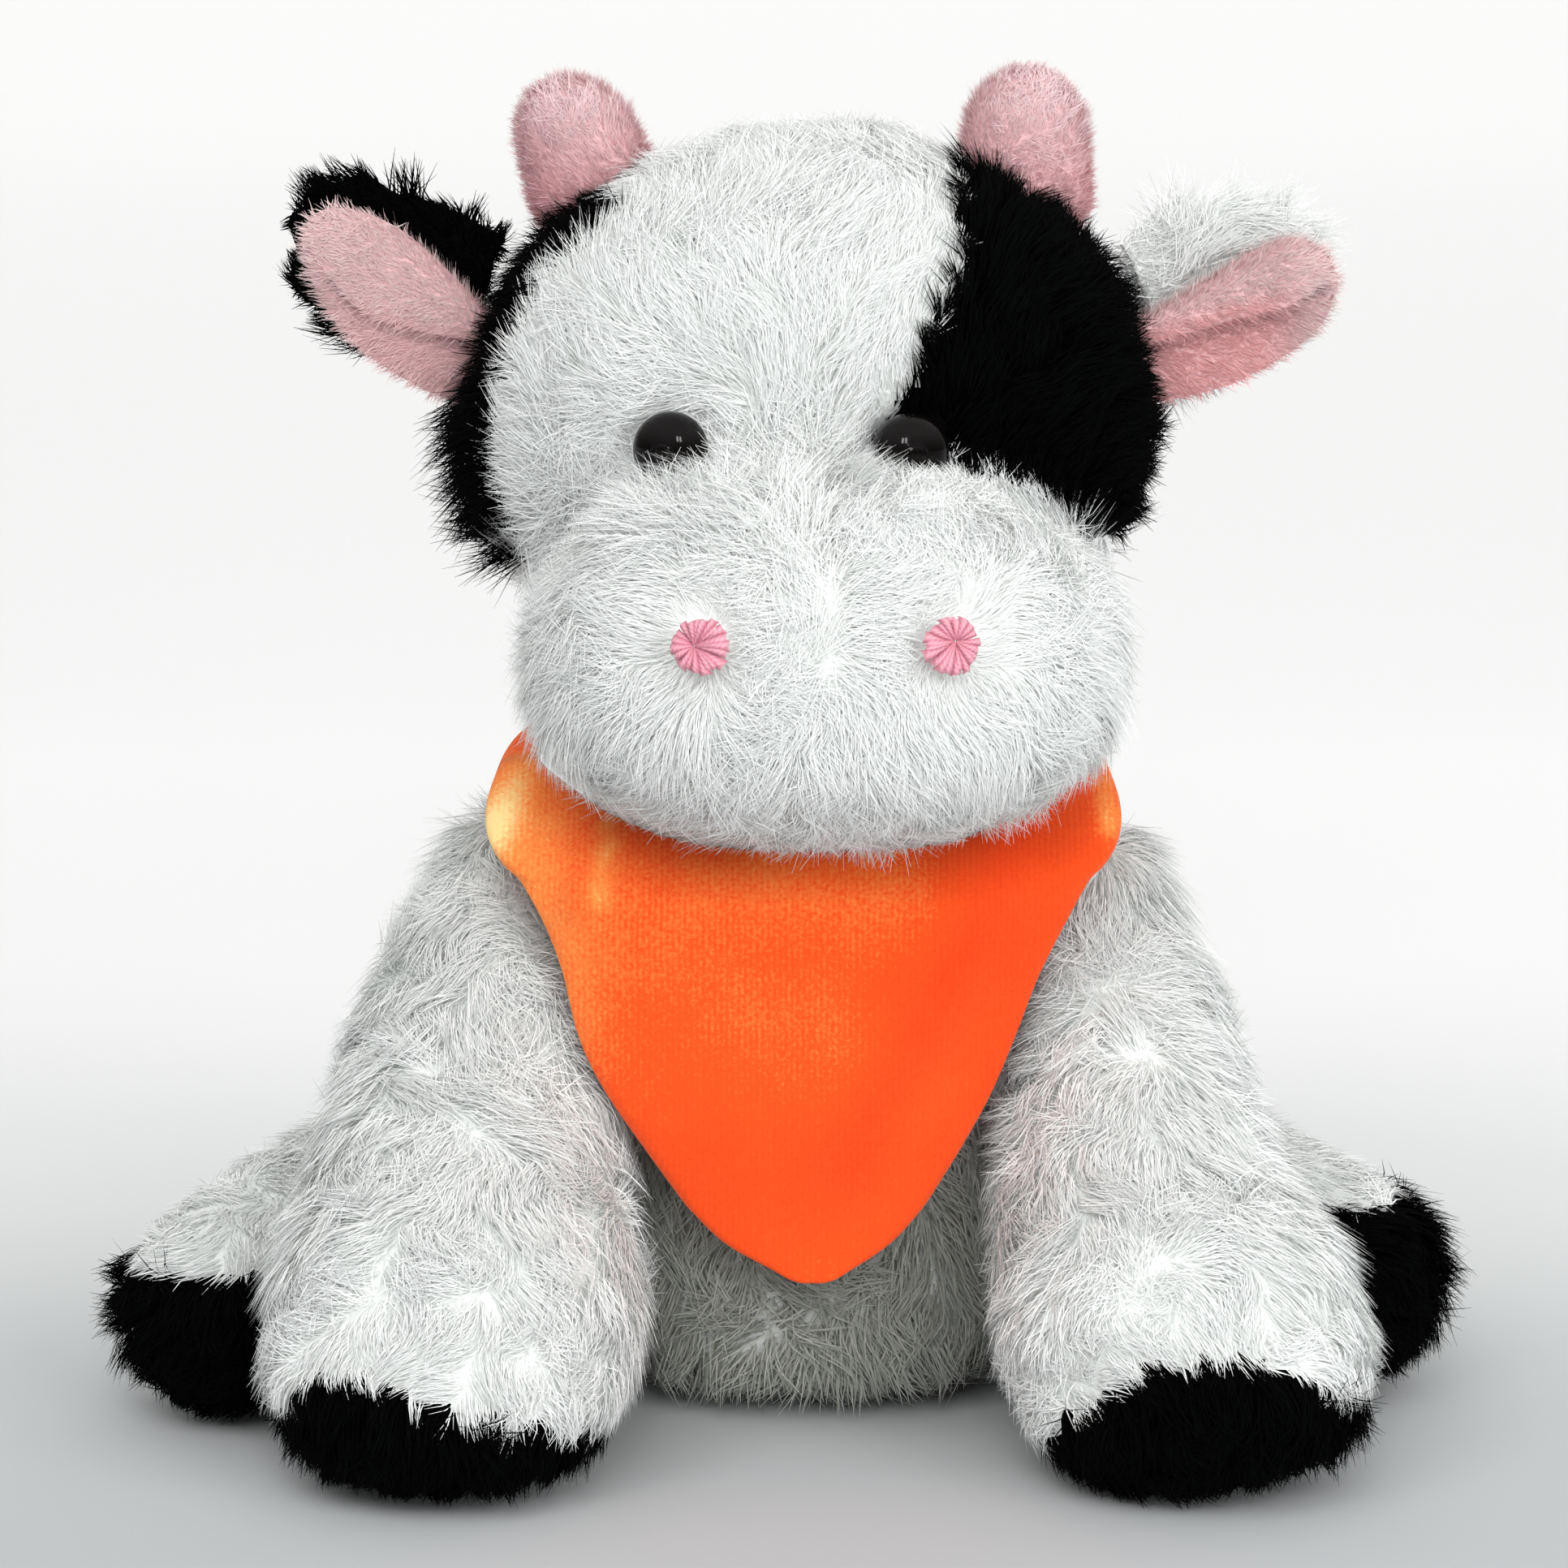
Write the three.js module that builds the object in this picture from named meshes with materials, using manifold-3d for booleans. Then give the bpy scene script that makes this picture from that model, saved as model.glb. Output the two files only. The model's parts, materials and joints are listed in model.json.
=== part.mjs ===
// Seated plush cow: pile fabric covers sewn over soft stuffing, locked safety eyes and a tied bandana.
// Millimetres, +Z up. The toy looks along -Y, so its own left side is at +X.

import * as THREE from 'three';
import { mergeVertices } from 'three/addons/utils/BufferGeometryUtils.js';
import Module from 'manifold-3d';

const wasm = await Module();
wasm.setup();

// Fabric and clearances
const pileFabric = 3;
const bandanaCloth = 1.6;
const seamGap = 0.3;
const floorFlat = 0.5;
const cutOverrun = 150;

// Torso: a pear that sits on its flat seat, with the neck as a ball on top
const torsoHeight = 109;
const torsoHalfWidth = 51;
const torsoHalfDepth = 47;
const torsoSeatRound = 8;
const torsoTopRound = 26;
const torsoBack = 9;
const torsoLeanShares = [1, 1, 0.75, 0.3, 0];
const torsoWidthShares = [0.82, 1, 0.98, 0.88, 0.78];
const torsoDepthShares = [0.88, 1, 0.96, 0.88, 0.8];
const neckHeight = 91.4;
const neckRadius = 41.4;
const neckGap = 0.9;

// Pellet bag in the seat
const pelletHalfWidth = 28;
const pelletHalfDepth = 24;
const pelletHalfHeight = 9;

// Skull and muzzle, with their heights above the neck
const skullRise = 72;
const skullForward = 5;
const skullHalfWidth = 56.5;
const skullHalfDepth = 45;
const skullHalfHeight = 47;
const muzzleRise = 39;
const muzzleForward = 42;
const muzzleHalfWidth = 47;
const muzzleHalfDepth = 44;
const muzzleHalfHeight = 30;
const skullSquareness = 2;
const muzzleSquareness = 2.5;
const headNodDown = 4;

// Coloured panels of the skull cover, as shares of the skull's half sizes from its centre
const eyePatchLowShare = 0.4;
const eyePatchShares = [
  [0.5, 1.15], [0.4, 0.69], [0.44, 0.56], [0.32, 0.4], [0.32, 0.25], [0.16, 0.05],
  [0.16, -eyePatchLowShare], [1.15, -eyePatchLowShare], [1.15, 1.15],
];
const sideSeamForwardShare = 0.38;
const sideSeamInShare = 0.3;
const sideSeamLowShare = 0.42;
const backSeamShare = 0.3;

// Safety eyes: domed front, ribbed shank and a lock washer behind the fabric
const eyeRadius = 6;
const eyeBulge = 4;
const eyeRim = 0.8;
const eyeDomeSteps = 5;
const eyeRise = 72;
const eyeSpread = 18.5;
const eyeOffset = -3.5;
const shankRadius = 1.9;
const shankRib = 0.45;
const shankRibPitch = 1.6;
const shankRibs = 3;
const shankRibRampShare = 0.7;
const washerRadius = 5.5;
const washerThickness = 1.4;
const washerBevelShare = 0.33;
const shankFit = 0.25;

// Nostrils: satin stitch discs
const nostrilRadius = 4.8;
const nostrilThickness = 1.5;
const nostrilStitches = 22;
const nostrilStitchDepth = 0.35;
const nostrilReachShares = [1, 1, 0.72, 0.36];
const nostrilRiseShares = [0, 0.35, 0.85, 1];
const nostrilRise = 48;
const nostrilSpread = 19;
const faceOffset = 1.8;

// Horns
const hornLength = 33.5;
const hornRadius = 11.6;
const hornDepthShare = 0.85;
const hornTipRound = 10;
const hornSpread = 33.8;
const hornRootRise = 94;
const hornLean = 5;
const hornTurn = { left: 0.2, right: 1.1 };
const hornWidthShares = [1, 1, 0.96, 0.9, 0.84];

// Ears: a furred outer leaf and a short pile lining on its front
const earLength = 41;
const earHalfHeight = 18;
const earHalfThickness = 4.2;
const earTipRound = 13;
const earRootSpread = 44;
const earRootRise = { left: 84.5, right: 83 };
const earRise = { left: 8, right: 16.5 };
const earSweep = 6;
const earHeightShares = {
  left: [0.56, 0.9, 1, 0.92, 0.76],
  right: [0.5, 0.86, 0.98, 0.97, 0.86],
};
const earThicknessShares = [1, 1, 0.9, 0.8, 0.6];
const liningLength = 33;
const liningHalfHeight = 10.5;
const liningHalfThickness = 1.8;
const liningTipRound = 9;
const liningRootSpread = 51;
const liningDrop = 7;
const liningHeightShares = [0.62, 0.86, 1, 0.98, 0.82];
const earSwing = 7;

// Front legs: shoulder to sole
const frontLegLength = 128;
const frontLegRadius = 31;
const frontLegSoleRound = 11;
const frontLegRootRound = 14;
const shoulderSpread = 32;
const shoulderHeight = 94.4;
const shoulderForward = 5;
const frontLegOutShares = {
  left: [0, 0.09, 0.133, 0.155, 0.222, 0.25],
  right: [0, 0.12, 0.16, 0.18, 0.2, 0.2],
};
const frontLegForwardShares = [0, 0.06, 0.17, 0.31, 0.44, 0.445];
const frontLegDownShares = [0, 0.1, 0.26, 0.43, 0.6, 0.745];
const frontLegWidthShares = {
  left: [0.5, 0.57, 0.66, 0.8, 1.04, 0.88],
  right: [0.5, 0.6, 0.76, 0.9, 1.04, 0.88],
};
const frontLegDepthShares = [0.46, 0.56, 0.62, 0.72, 0.78, 0.76];
const frontHoofHeight = { left: 14.6, right: 11.6 };
const frontHoofLean = 0.3;
const frontHoofTilt = { left: 0, right: 0.15 };
const frontLegSwing = 5;

// Hind legs: hip to sole
const hindLegLength = { left: 78, right: 92 };
const hindLegRadius = 22;
const hindLegSoleRound = 9;
const hindLegRootRound = 12;
const hipSpread = 30;
const hipHeight = 24;
const hipBack = 18;
const hindLegTurn = { left: 0.07, right: -0.02 };
const hindLegOutShares = [0, 0.3, 0.6, 0.82];
const hindLegForwardShares = [0, 0.12, 0.3, 0.6];
const hindLegDownShares = [0, 0, 0.04, 0.1];
const hindLegWidthShares = [0.82, 1, 0.92, 0.78];
const hindLegDepthShares = [0.9, 1.05, 0.96, 0.86];
const hindHoofLength = { left: 26, right: 20 };
const hindHoofLean = 0.5;
const hindLegSwing = 20;

// Tail and its tuft
const tailRadius = 5.5;
const tailLength = 30;
const tailRootHeight = 34;
const tailRootBack = 50;
const tailDropShares = [0, 0.1, 0.36, 0.6];
const tailBackShares = [0, 0.3, 0.62, 0.82];
const tuftRadius = 8;
const tuftLength = 20;
const tuftWidthShares = [0.8, 1, 0.6];
const tuftSpineShares = [-0.25, 0.25, 0.75];
const tailSwing = 15;

// Bandana: a collar sheet round the neck, the hanging flap and the knot behind
const collarWidth = 46;
const collarFront = 46;
const collarBack = 41.4;
const collarHeight = 24;
const collarSquareness = 3;
const collarRoomShare = 1.1;
const collarRows = 3;
const collarColumns = 32;
// Edges of the collar from its front round the toy's left to its back, as shares of the collar's
// width, of its front or back reach, and of its height above the low edge
const collarLowShares = [
  [0, 1, 0], [0.62, 0.99, 0], [0.97, 0.89, 0], [1.08, 0.5, 0.6],
  [0.98, 0, 0.72], [0.74, -0.6, 0.5], [0.36, -0.94, 0.42], [0, -1, 0.4],
];
const collarMidShares = [
  [0, 0.97, 0.16], [0.58, 0.9, 0.18], [1.08, 0.8, 0.4], [1.05, 0.36, 0.78],
  [0.94, 0, 0.84], [0.72, -0.6, 0.7], [0.36, -0.91, 0.66], [0, -0.97, 0.64],
];
const collarHighShares = [
  [0, 0.925, 0.31], [0.52, 0.78, 0.36], [0.92, 0.5, 0.68], [0.9, 0.27, 0.8],
  [0.85, 0, 0.88], [0.66, -0.54, 0.9], [0.33, -0.84, 0.88], [0, -0.9, 0.86],
];
const flapHalfWidth = 43.5;
const flapDrop = 57.5;
const flapLean = 7;
const flapSag = 4;
const flapHinge = 1.8;
const flapCrownShare = 0.06;
const flapColumns = 10;
const flapWidthShares = [1, 0.92, 0.83, 0.74, 0.64, 0.52, 0.36, 0.24, 0.08];
const flapDropShares = [0, 0.14, 0.28, 0.43, 0.58, 0.72, 0.86, 0.94, 1];
const knotSink = 0.85;
const knotHalfWidth = 10;
const knotHalfDepth = 5;
const knotHalfHeight = 7;
const knotTail = 30;
const knotTailHalfWidth = 6.5;
const knotHeightShare = 0.62;
const knotTailRootShare = 0.3;
const knotTailOutShare = 0.62;
const knotTailDownShare = 0.72;
const knotTailWidthShares = [0.5, 1, 0.7];

// Facets of the round forms
const blobSides = 22;
const blobRings = 12;
const ballSides = 24;
const ballRings = 12;
const torsoSides = 20;
const torsoRings = 12;
const limbSides = 12;
const limbRings = 9;
const smallSides = 10;
const smallRings = 7;
const latheSides = 12;
const sweepStep = 6;

const sides = { left: 1, right: -1 };
const across = new THREE.Vector3(1, 0, 0);
const ahead = new THREE.Vector3(0, -1, 0);
const upward = new THREE.Vector3(0, 0, 1);

// What the neck carries follows its height
const collarLow = neckHeight;
const collarHigh = neckHeight + collarHeight;
const skullHeight = neckHeight + skullRise;
const eyeHeight = neckHeight + eyeRise;
const nostrilHeight = neckHeight + nostrilRise;
const hornRootHeight = neckHeight + hornRootRise;
const earRootHeight = { left: neckHeight + earRootRise.left, right: neckHeight + earRootRise.right };
const neck = new THREE.Vector3(0, 0, neckHeight);
const skullCentre = new THREE.Vector3(0, -skullForward, skullHeight);
const muzzleCentre = new THREE.Vector3(faceOffset, -muzzleForward, neckHeight + muzzleRise);

const finishes = {
  whitePile: { color: 0xe9ebeb, roughness: 0.95, metalness: 0 },
  blackPile: { color: 0x0c0e12, roughness: 0.9, metalness: 0 },
  pinkPile: { color: 0xe39aa6, roughness: 0.9, metalness: 0 },
  pinkYarn: { color: 0xf08aa0, roughness: 0.6, metalness: 0 },
  orangeCloth: { color: 0xff5a1e, roughness: 0.85, metalness: 0 },
  eyeGloss: { color: 0x120c0a, roughness: 0.08, metalness: 0 },
  washerPlastic: { color: 0xf0f0ee, roughness: 0.5, metalness: 0 },
  stuffing: { color: 0xf6f6f4, roughness: 1, metalness: 0 },
  pelletCloth: { color: 0xdcdcd6, roughness: 0.9, metalness: 0 },
};

// A closed solid from a geometry, with its shared corners merged and its empty triangles dropped
function solidOf(geometry) {
  const bare = geometry.clone();
  bare.deleteAttribute('normal');
  bare.deleteAttribute('uv');
  const merged = mergeVertices(bare);
  const corners = merged.index.array;
  const triVerts = [];
  for (let i = 0; i < corners.length; i += 3) {
    const [a, b, c] = [corners[i], corners[i + 1], corners[i + 2]];
    if (a !== b && b !== c && c !== a) triVerts.push(a, b, c);
  }
  const vertProperties = merged.attributes.position.array;
  const mesh = new wasm.Mesh({ numProp: 3, vertProperties, triVerts: new Uint32Array(triVerts) });
  return new wasm.Manifold(mesh);
}

function geometryOf(solid) {
  const { vertProperties, triVerts } = solid.getMesh();
  const geometry = new THREE.BufferGeometry();
  geometry.setAttribute('position', new THREE.BufferAttribute(new Float32Array(vertProperties), 3));
  geometry.setIndex(Array.from(triVerts));
  geometry.computeVertexNormals();
  return geometry;
}

// Smooth value along a short table
function along(values, share) {
  const curve = new THREE.SplineCurve(values.map((value, i) => new THREE.Vector2(i, value)));
  return curve.getPoint(share).y;
}

// Quarter-round shoulder at an end: 0 at the end, 1 past the round
function endRound(distance, round) {
  const left = 1 - Math.min(1, Math.max(0, distance / round));
  return Math.sqrt(Math.max(0, 1 - left * left));
}

// Indices of a tube of rings between two poles, ring by ring from the first pole
function ringIndices(rings, count) {
  const indices = [];
  const last = rings * count + 1;
  for (let j = 0; j < count; j += 1) {
    const next = (j + 1) % count;
    indices.push(0, 1 + next, 1 + j);
    for (let i = 0; i < rings - 1; i += 1) {
      const low = 1 + i * count;
      const high = low + count;
      indices.push(low + j, low + next, high + next, low + j, high + next, high + j);
    }
    const top = last - count;
    indices.push(top + j, top + next, last);
  }
  return indices;
}

// A stuffed form swells and tapers along its spine; inset gives the inside of its cover
function stuffedForm(form, inset = 0) {
  const curve = new THREE.CatmullRomCurve3(form.spine);
  const length = curve.getLength();
  const within = (distance) => Math.min(1, Math.max(0, distance / length));
  const spineAt = (distance) => {
    const share = within(distance);
    const overrun = distance - share * length;
    return curve.getPointAt(share).addScaledVector(curve.getTangentAt(share), overrun);
  };
  const points = [spineAt(inset)];
  for (let i = 1; i < form.rings; i += 1) {
    const share = (1 - Math.cos(Math.PI * i / form.rings)) / 2;
    const distance = inset + share * (length - 2 * inset);
    const start = endRound(distance - inset, form.startRound - inset);
    const end = endRound(length - inset - distance, form.endRound - inset);
    const width = (along(form.halfWidths, within(distance)) - inset) * start * end;
    const depth = (along(form.halfDepths, within(distance)) - inset) * start * end;
    const tangent = curve.getTangentAt(within(distance));
    const side = form.side.clone().addScaledVector(tangent, -form.side.dot(tangent)).normalize();
    const front = new THREE.Vector3().crossVectors(tangent, side);
    for (let j = 0; j < form.sides; j += 1) {
      const angle = 2 * Math.PI * j / form.sides;
      points.push(spineAt(distance)
        .addScaledVector(side, width * Math.cos(angle))
        .addScaledVector(front, depth * Math.sin(angle)));
    }
  }
  points.push(spineAt(length - inset));
  const geometry = new THREE.BufferGeometry().setFromPoints(points);
  geometry.setIndex(ringIndices(form.rings - 1, form.sides));
  return solidOf(geometry);
}

// A squared-off ellipsoid: squareness 2 is a plain one
function blob(centre, halfSizes, squareness, inset = 0, around = blobSides, rings = blobRings) {
  const geometry = new THREE.SphereGeometry(1, around, rings).rotateX(Math.PI / 2);
  const position = geometry.attributes.position;
  for (let i = 0; i < position.count; i += 1) {
    const point = new THREE.Vector3().fromBufferAttribute(position, i);
    const sum = point.toArray().reduce((total, value) => total + Math.abs(value) ** squareness, 0);
    point.multiplyScalar(sum ** (-1 / squareness));
    point.multiply(halfSizes.clone().addScalar(-inset));
    position.setXYZ(i, ...point.add(centre).toArray());
  }
  return solidOf(geometry);
}

function ball(centre, radius) {
  const geometry = new THREE.SphereGeometry(radius, ballSides, ballRings).rotateX(Math.PI / 2);
  return solidOf(geometry.translate(centre.x, centre.y, centre.z));
}

function box(low, high) {
  const size = high.clone().sub(low);
  const centre = low.clone().add(high).divideScalar(2);
  const geometry = new THREE.BoxGeometry(size.x, size.y, size.z);
  return solidOf(geometry.translate(centre.x, centre.y, centre.z));
}

// Everything on the far side of a plane, as a big block
function beyond(point, normal) {
  const geometry = new THREE.BoxGeometry(2 * cutOverrun, 2 * cutOverrun, 2 * cutOverrun);
  geometry.translate(0, 0, cutOverrun);
  geometry.applyQuaternion(new THREE.Quaternion().setFromUnitVectors(upward, normal));
  return solidOf(geometry.translate(point.x, point.y, point.z));
}

// A turned piece from a profile of [radius, height] pairs that starts and ends on its axis
function turned(profile) {
  const points = profile.map(([radius, height]) => new THREE.Vector2(radius, height));
  return solidOf(new THREE.LatheGeometry(points, latheSides).rotateX(Math.PI / 2));
}

// Moves a solid that was made about the origin along +Z to a place and a facing direction
function placed(solid, point, direction) {
  const turn = new THREE.Quaternion().setFromUnitVectors(upward, direction);
  const there = new THREE.Matrix4().makeRotationFromQuaternion(turn).setPosition(point);
  return solid.transform(there.toArray());
}

function rotatedAbout(solid, pivot, axis, degrees) {
  const turn = new THREE.Matrix4().makeRotationAxis(axis, THREE.MathUtils.degToRad(degrees));
  const there = new THREE.Matrix4().makeTranslation(pivot);
  const back = new THREE.Matrix4().makeTranslation(pivot.clone().negate());
  return solid.transform(there.multiply(turn).multiply(back).toArray());
}

// What a fixed neighbour sweeps, seen from a piece that swings from one angle to another
function sweptPast(neighbour, pivot, axis, fromDegrees, toDegrees) {
  const steps = Math.max(1, Math.ceil((toDegrees - fromDegrees) / sweepStep));
  let swept = neighbour;
  for (let i = 0; i <= steps; i += 1) {
    const angle = fromDegrees + (toDegrees - fromDegrees) * i / steps;
    swept = swept.add(rotatedAbout(neighbour, pivot, axis, -angle));
  }
  return swept;
}

const aboveFloor = beyond(new THREE.Vector3(0, 0, 0), upward);

function torsoForm(inset) {
  const spine = torsoLeanShares.map((lean, i) => {
    const height = -floorFlat + torsoHeight * i / (torsoLeanShares.length - 1);
    return new THREE.Vector3(0, lean * torsoBack, height);
  });
  const pear = stuffedForm({
    spine,
    halfWidths: torsoWidthShares.map((share) => share * torsoHalfWidth),
    halfDepths: torsoDepthShares.map((share) => share * torsoHalfDepth),
    side: across,
    startRound: torsoSeatRound,
    endRound: torsoTopRound,
    sides: torsoSides,
    rings: torsoRings,
  }, inset);
  return pear.add(ball(neck, neckRadius - inset));
}

function headForm(inset) {
  return skullForm(inset).add(muzzleForm(inset));
}

function skullForm(inset) {
  const halfSizes = new THREE.Vector3(skullHalfWidth, skullHalfDepth, skullHalfHeight);
  return blob(skullCentre, halfSizes, skullSquareness, inset);
}

function muzzleForm(inset) {
  const halfSizes = new THREE.Vector3(muzzleHalfWidth, muzzleHalfDepth, muzzleHalfHeight);
  return blob(muzzleCentre, halfSizes, muzzleSquareness, inset);
}

// The front surface of a squared-off ellipsoid over a place in the XZ plane, with its outward normal
function frontOf(centre, halfSizes, squareness, x, z) {
  const share = (offset, half) => Math.abs(offset / half) ** squareness;
  const rest = 1 - share(x - centre.x, halfSizes.x) - share(z - centre.z, halfSizes.z);
  const y = -halfSizes.y * rest ** (1 / squareness);
  const slope = (offset, half) => Math.sign(offset) * Math.abs(offset / half) ** (squareness - 1) / half;
  const normal = new THREE.Vector3(
    slope(x - centre.x, halfSizes.x), slope(y, halfSizes.y), slope(z - centre.z, halfSizes.z));
  return { point: new THREE.Vector3(x, centre.y + y, z), normal: normal.normalize() };
}

function part(name, solid, finish) {
  const mesh = new THREE.Mesh(geometryOf(solid), new THREE.MeshStandardMaterial(finishes[finish]));
  mesh.name = name;
  return mesh;
}

// Pieces that move together: a group whose own origin is the joint's pivot
function jointed(pivot, parts) {
  const group = new THREE.Group();
  group.position.copy(pivot);
  for (const mesh of parts) {
    mesh.geometry.translate(-pivot.x, -pivot.y, -pivot.z);
    group.add(mesh);
  }
  return group;
}

function torsoParts() {
  const bagCentre = new THREE.Vector3(0, torsoBack, pileFabric + seamGap + pelletHalfHeight);
  const bagHalfSizes = new THREE.Vector3(pelletHalfWidth, pelletHalfDepth, pelletHalfHeight);
  const bag = blob(bagCentre, bagHalfSizes, skullSquareness, 0, smallSides, smallRings);
  const bagRoom = blob(bagCentre, bagHalfSizes, skullSquareness, -seamGap, smallSides, smallRings);
  const pocket = bagRoom.add(bagRoom.translate([0, 0, -pileFabric]));
  const inside = torsoForm(pileFabric + seamGap);
  // The neck stays open, where the head's stuffing meets the torso's
  const mouth = beyond(new THREE.Vector3(0, 0, neckHeight + neckRadius - 2 * pileFabric), upward);
  const cover = torsoForm(0).subtract(torsoForm(pileFabric)).intersect(aboveFloor).subtract(mouth);
  return [
    part('torso_cover', cover, 'whitePile'),
    part('torso_stuffing', inside.subtract(pocket).subtract(mouth), 'stuffing'),
    part('pellet_bag', bag.intersect(inside), 'pelletCloth'),
  ];
}

function eyePlace(side) {
  const halfSizes = new THREE.Vector3(skullHalfWidth, skullHalfDepth, skullHalfHeight);
  const x = sides[side] * eyeSpread + eyeOffset;
  return frontOf(skullCentre, halfSizes, skullSquareness, x, eyeHeight);
}

// Profile heights run outwards from the fabric's face; the shank passes through the fabric
function eyeSolid(side) {
  const back = seamGap;
  const shankLength = pileFabric + 2 * seamGap + washerThickness + shankRibs * shankRibPitch;
  const profile = [[0, back - shankLength]];
  for (let rib = 0; rib < shankRibs; rib += 1) {
    const height = back - shankLength + rib * shankRibPitch;
    const ramp = height + shankRibPitch * shankRibRampShare;
    profile.push([shankRadius - shankRib, height], [shankRadius, ramp]);
  }
  const neckedRadius = shankRadius - shankRib;
  profile.push([neckedRadius, back - pileFabric], [neckedRadius, back], [eyeRadius, back]);
  for (let i = 0; i <= eyeDomeSteps; i += 1) {
    const angle = Math.PI / 2 * i / eyeDomeSteps;
    profile.push([eyeRadius * Math.cos(angle), back + eyeRim + eyeBulge * Math.sin(angle)]);
  }
  profile[profile.length - 1][0] = 0;
  const { point, normal } = eyePlace(side);
  return placed(turned(profile), point, normal);
}

function washerSolid(side) {
  const low = -pileFabric - seamGap - washerThickness;
  const bore = shankRadius + shankFit;
  const bevel = low + washerThickness * washerBevelShare;
  const high = low + washerThickness;
  const profile = [[bore, low], [washerRadius, bevel], [washerRadius, high], [bore, high], [bore, low]];
  const { point, normal } = eyePlace(side);
  return placed(turned(profile), point, normal);
}

// Room for an eye: over the fabric, through it, and behind it for the washer
function eyeRoom(side) {
  const { point, normal } = eyePlace(side);
  const over = [[0, 0], [eyeRadius + seamGap, 0], [eyeRadius + seamGap, cutOverrun], [0, cutOverrun]];
  const through = shankRadius + shankFit;
  const inner = -2 * pileFabric;
  const bore = [[0, inner], [through, inner], [through, pileFabric], [0, pileFabric]];
  const deep = -pileFabric - 3 * seamGap - washerThickness - shankRibs * shankRibPitch;
  const wide = washerRadius + seamGap;
  const behind = [[0, deep], [wide, deep], [wide, -pileFabric], [0, -pileFabric]];
  const washerRoom = placed(turned(behind), point, normal);
  return {
    cover: placed(turned(over), point, normal).add(placed(turned(bore), point, normal)).add(washerRoom),
    stuffing: washerRoom,
  };
}

// A domed disc of stitches that all run to its centre
function nostrilSolid(side) {
  const halfSizes = new THREE.Vector3(muzzleHalfWidth, muzzleHalfDepth, muzzleHalfHeight);
  const x = muzzleCentre.x + sides[side] * nostrilSpread;
  const { point, normal } = frontOf(muzzleCentre, halfSizes, muzzleSquareness, x, nostrilHeight);
  const count = 2 * nostrilStitches;
  const points = [new THREE.Vector3(0, 0, seamGap)];
  for (const [level, reach] of nostrilReachShares.entries()) {
    for (let j = 0; j < count; j += 1) {
      const angle = 2 * Math.PI * j / count;
      const groove = (j % 2) * nostrilStitchDepth * reach;
      const radius = nostrilRadius * reach - groove;
      const height = seamGap + nostrilRiseShares[level] * (nostrilThickness - groove);
      points.push(new THREE.Vector3(radius * Math.cos(angle), radius * Math.sin(angle), height));
    }
  }
  points.push(new THREE.Vector3(0, 0, seamGap + nostrilThickness - nostrilStitchDepth));
  const geometry = new THREE.BufferGeometry().setFromPoints(points);
  geometry.setIndex(ringIndices(nostrilReachShares.length, count));
  return placed(solidOf(geometry), point, normal);
}

function outlineBlock(outline, nearY, farY) {
  const shape = new THREE.Shape(outline.map(([x, z]) => new THREE.Vector2(x, z)));
  const geometry = new THREE.ExtrudeGeometry(shape, { depth: farY - nearY, bevelEnabled: false });
  return solidOf(geometry.rotateX(Math.PI / 2).translate(0, farY, 0));
}

// Blocks that divide the skull's cover into its sewn panels, each wider by grow
function panelBlocks(grow) {
  const backSeam = skullCentre.y + backSeamShare * skullHalfDepth;
  const outline = eyePatchShares.map(([x, z]) => [x * skullHalfWidth, skullHeight + z * skullHalfHeight]);
  const eyePatch = outlineBlock(outline, -cutOverrun, backSeam);
  const steps = [[-grow, 0, 0], [0, 0, -grow], [-grow, 0, -grow], [0, grow, 0]];
  const grown = steps.reduce((sum, step) => sum.add(eyePatch.translate(step)), eyePatch);
  const sideLow = new THREE.Vector3(
    -cutOverrun, skullCentre.y - sideSeamForwardShare * skullHalfDepth - grow,
    skullHeight - sideSeamLowShare * skullHalfHeight - grow);
  const sideHigh = new THREE.Vector3(
    -sideSeamInShare * skullHalfWidth + grow, cutOverrun, skullHeight + cutOverrun);
  const side = box(sideLow, sideHigh);
  // The back panel also runs forward under the eye patch, to the muzzle
  const patchLow = skullHeight - eyePatchLowShare * skullHalfHeight;
  const cheekLow = new THREE.Vector3(-grow, -cutOverrun, 0);
  const cheek = box(cheekLow, new THREE.Vector3(cutOverrun, backSeam, patchLow));
  const back = beyond(new THREE.Vector3(0, backSeam - grow, 0), ahead.clone().negate()).add(cheek);
  return { eyePatch: grown, side, back };
}

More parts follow.
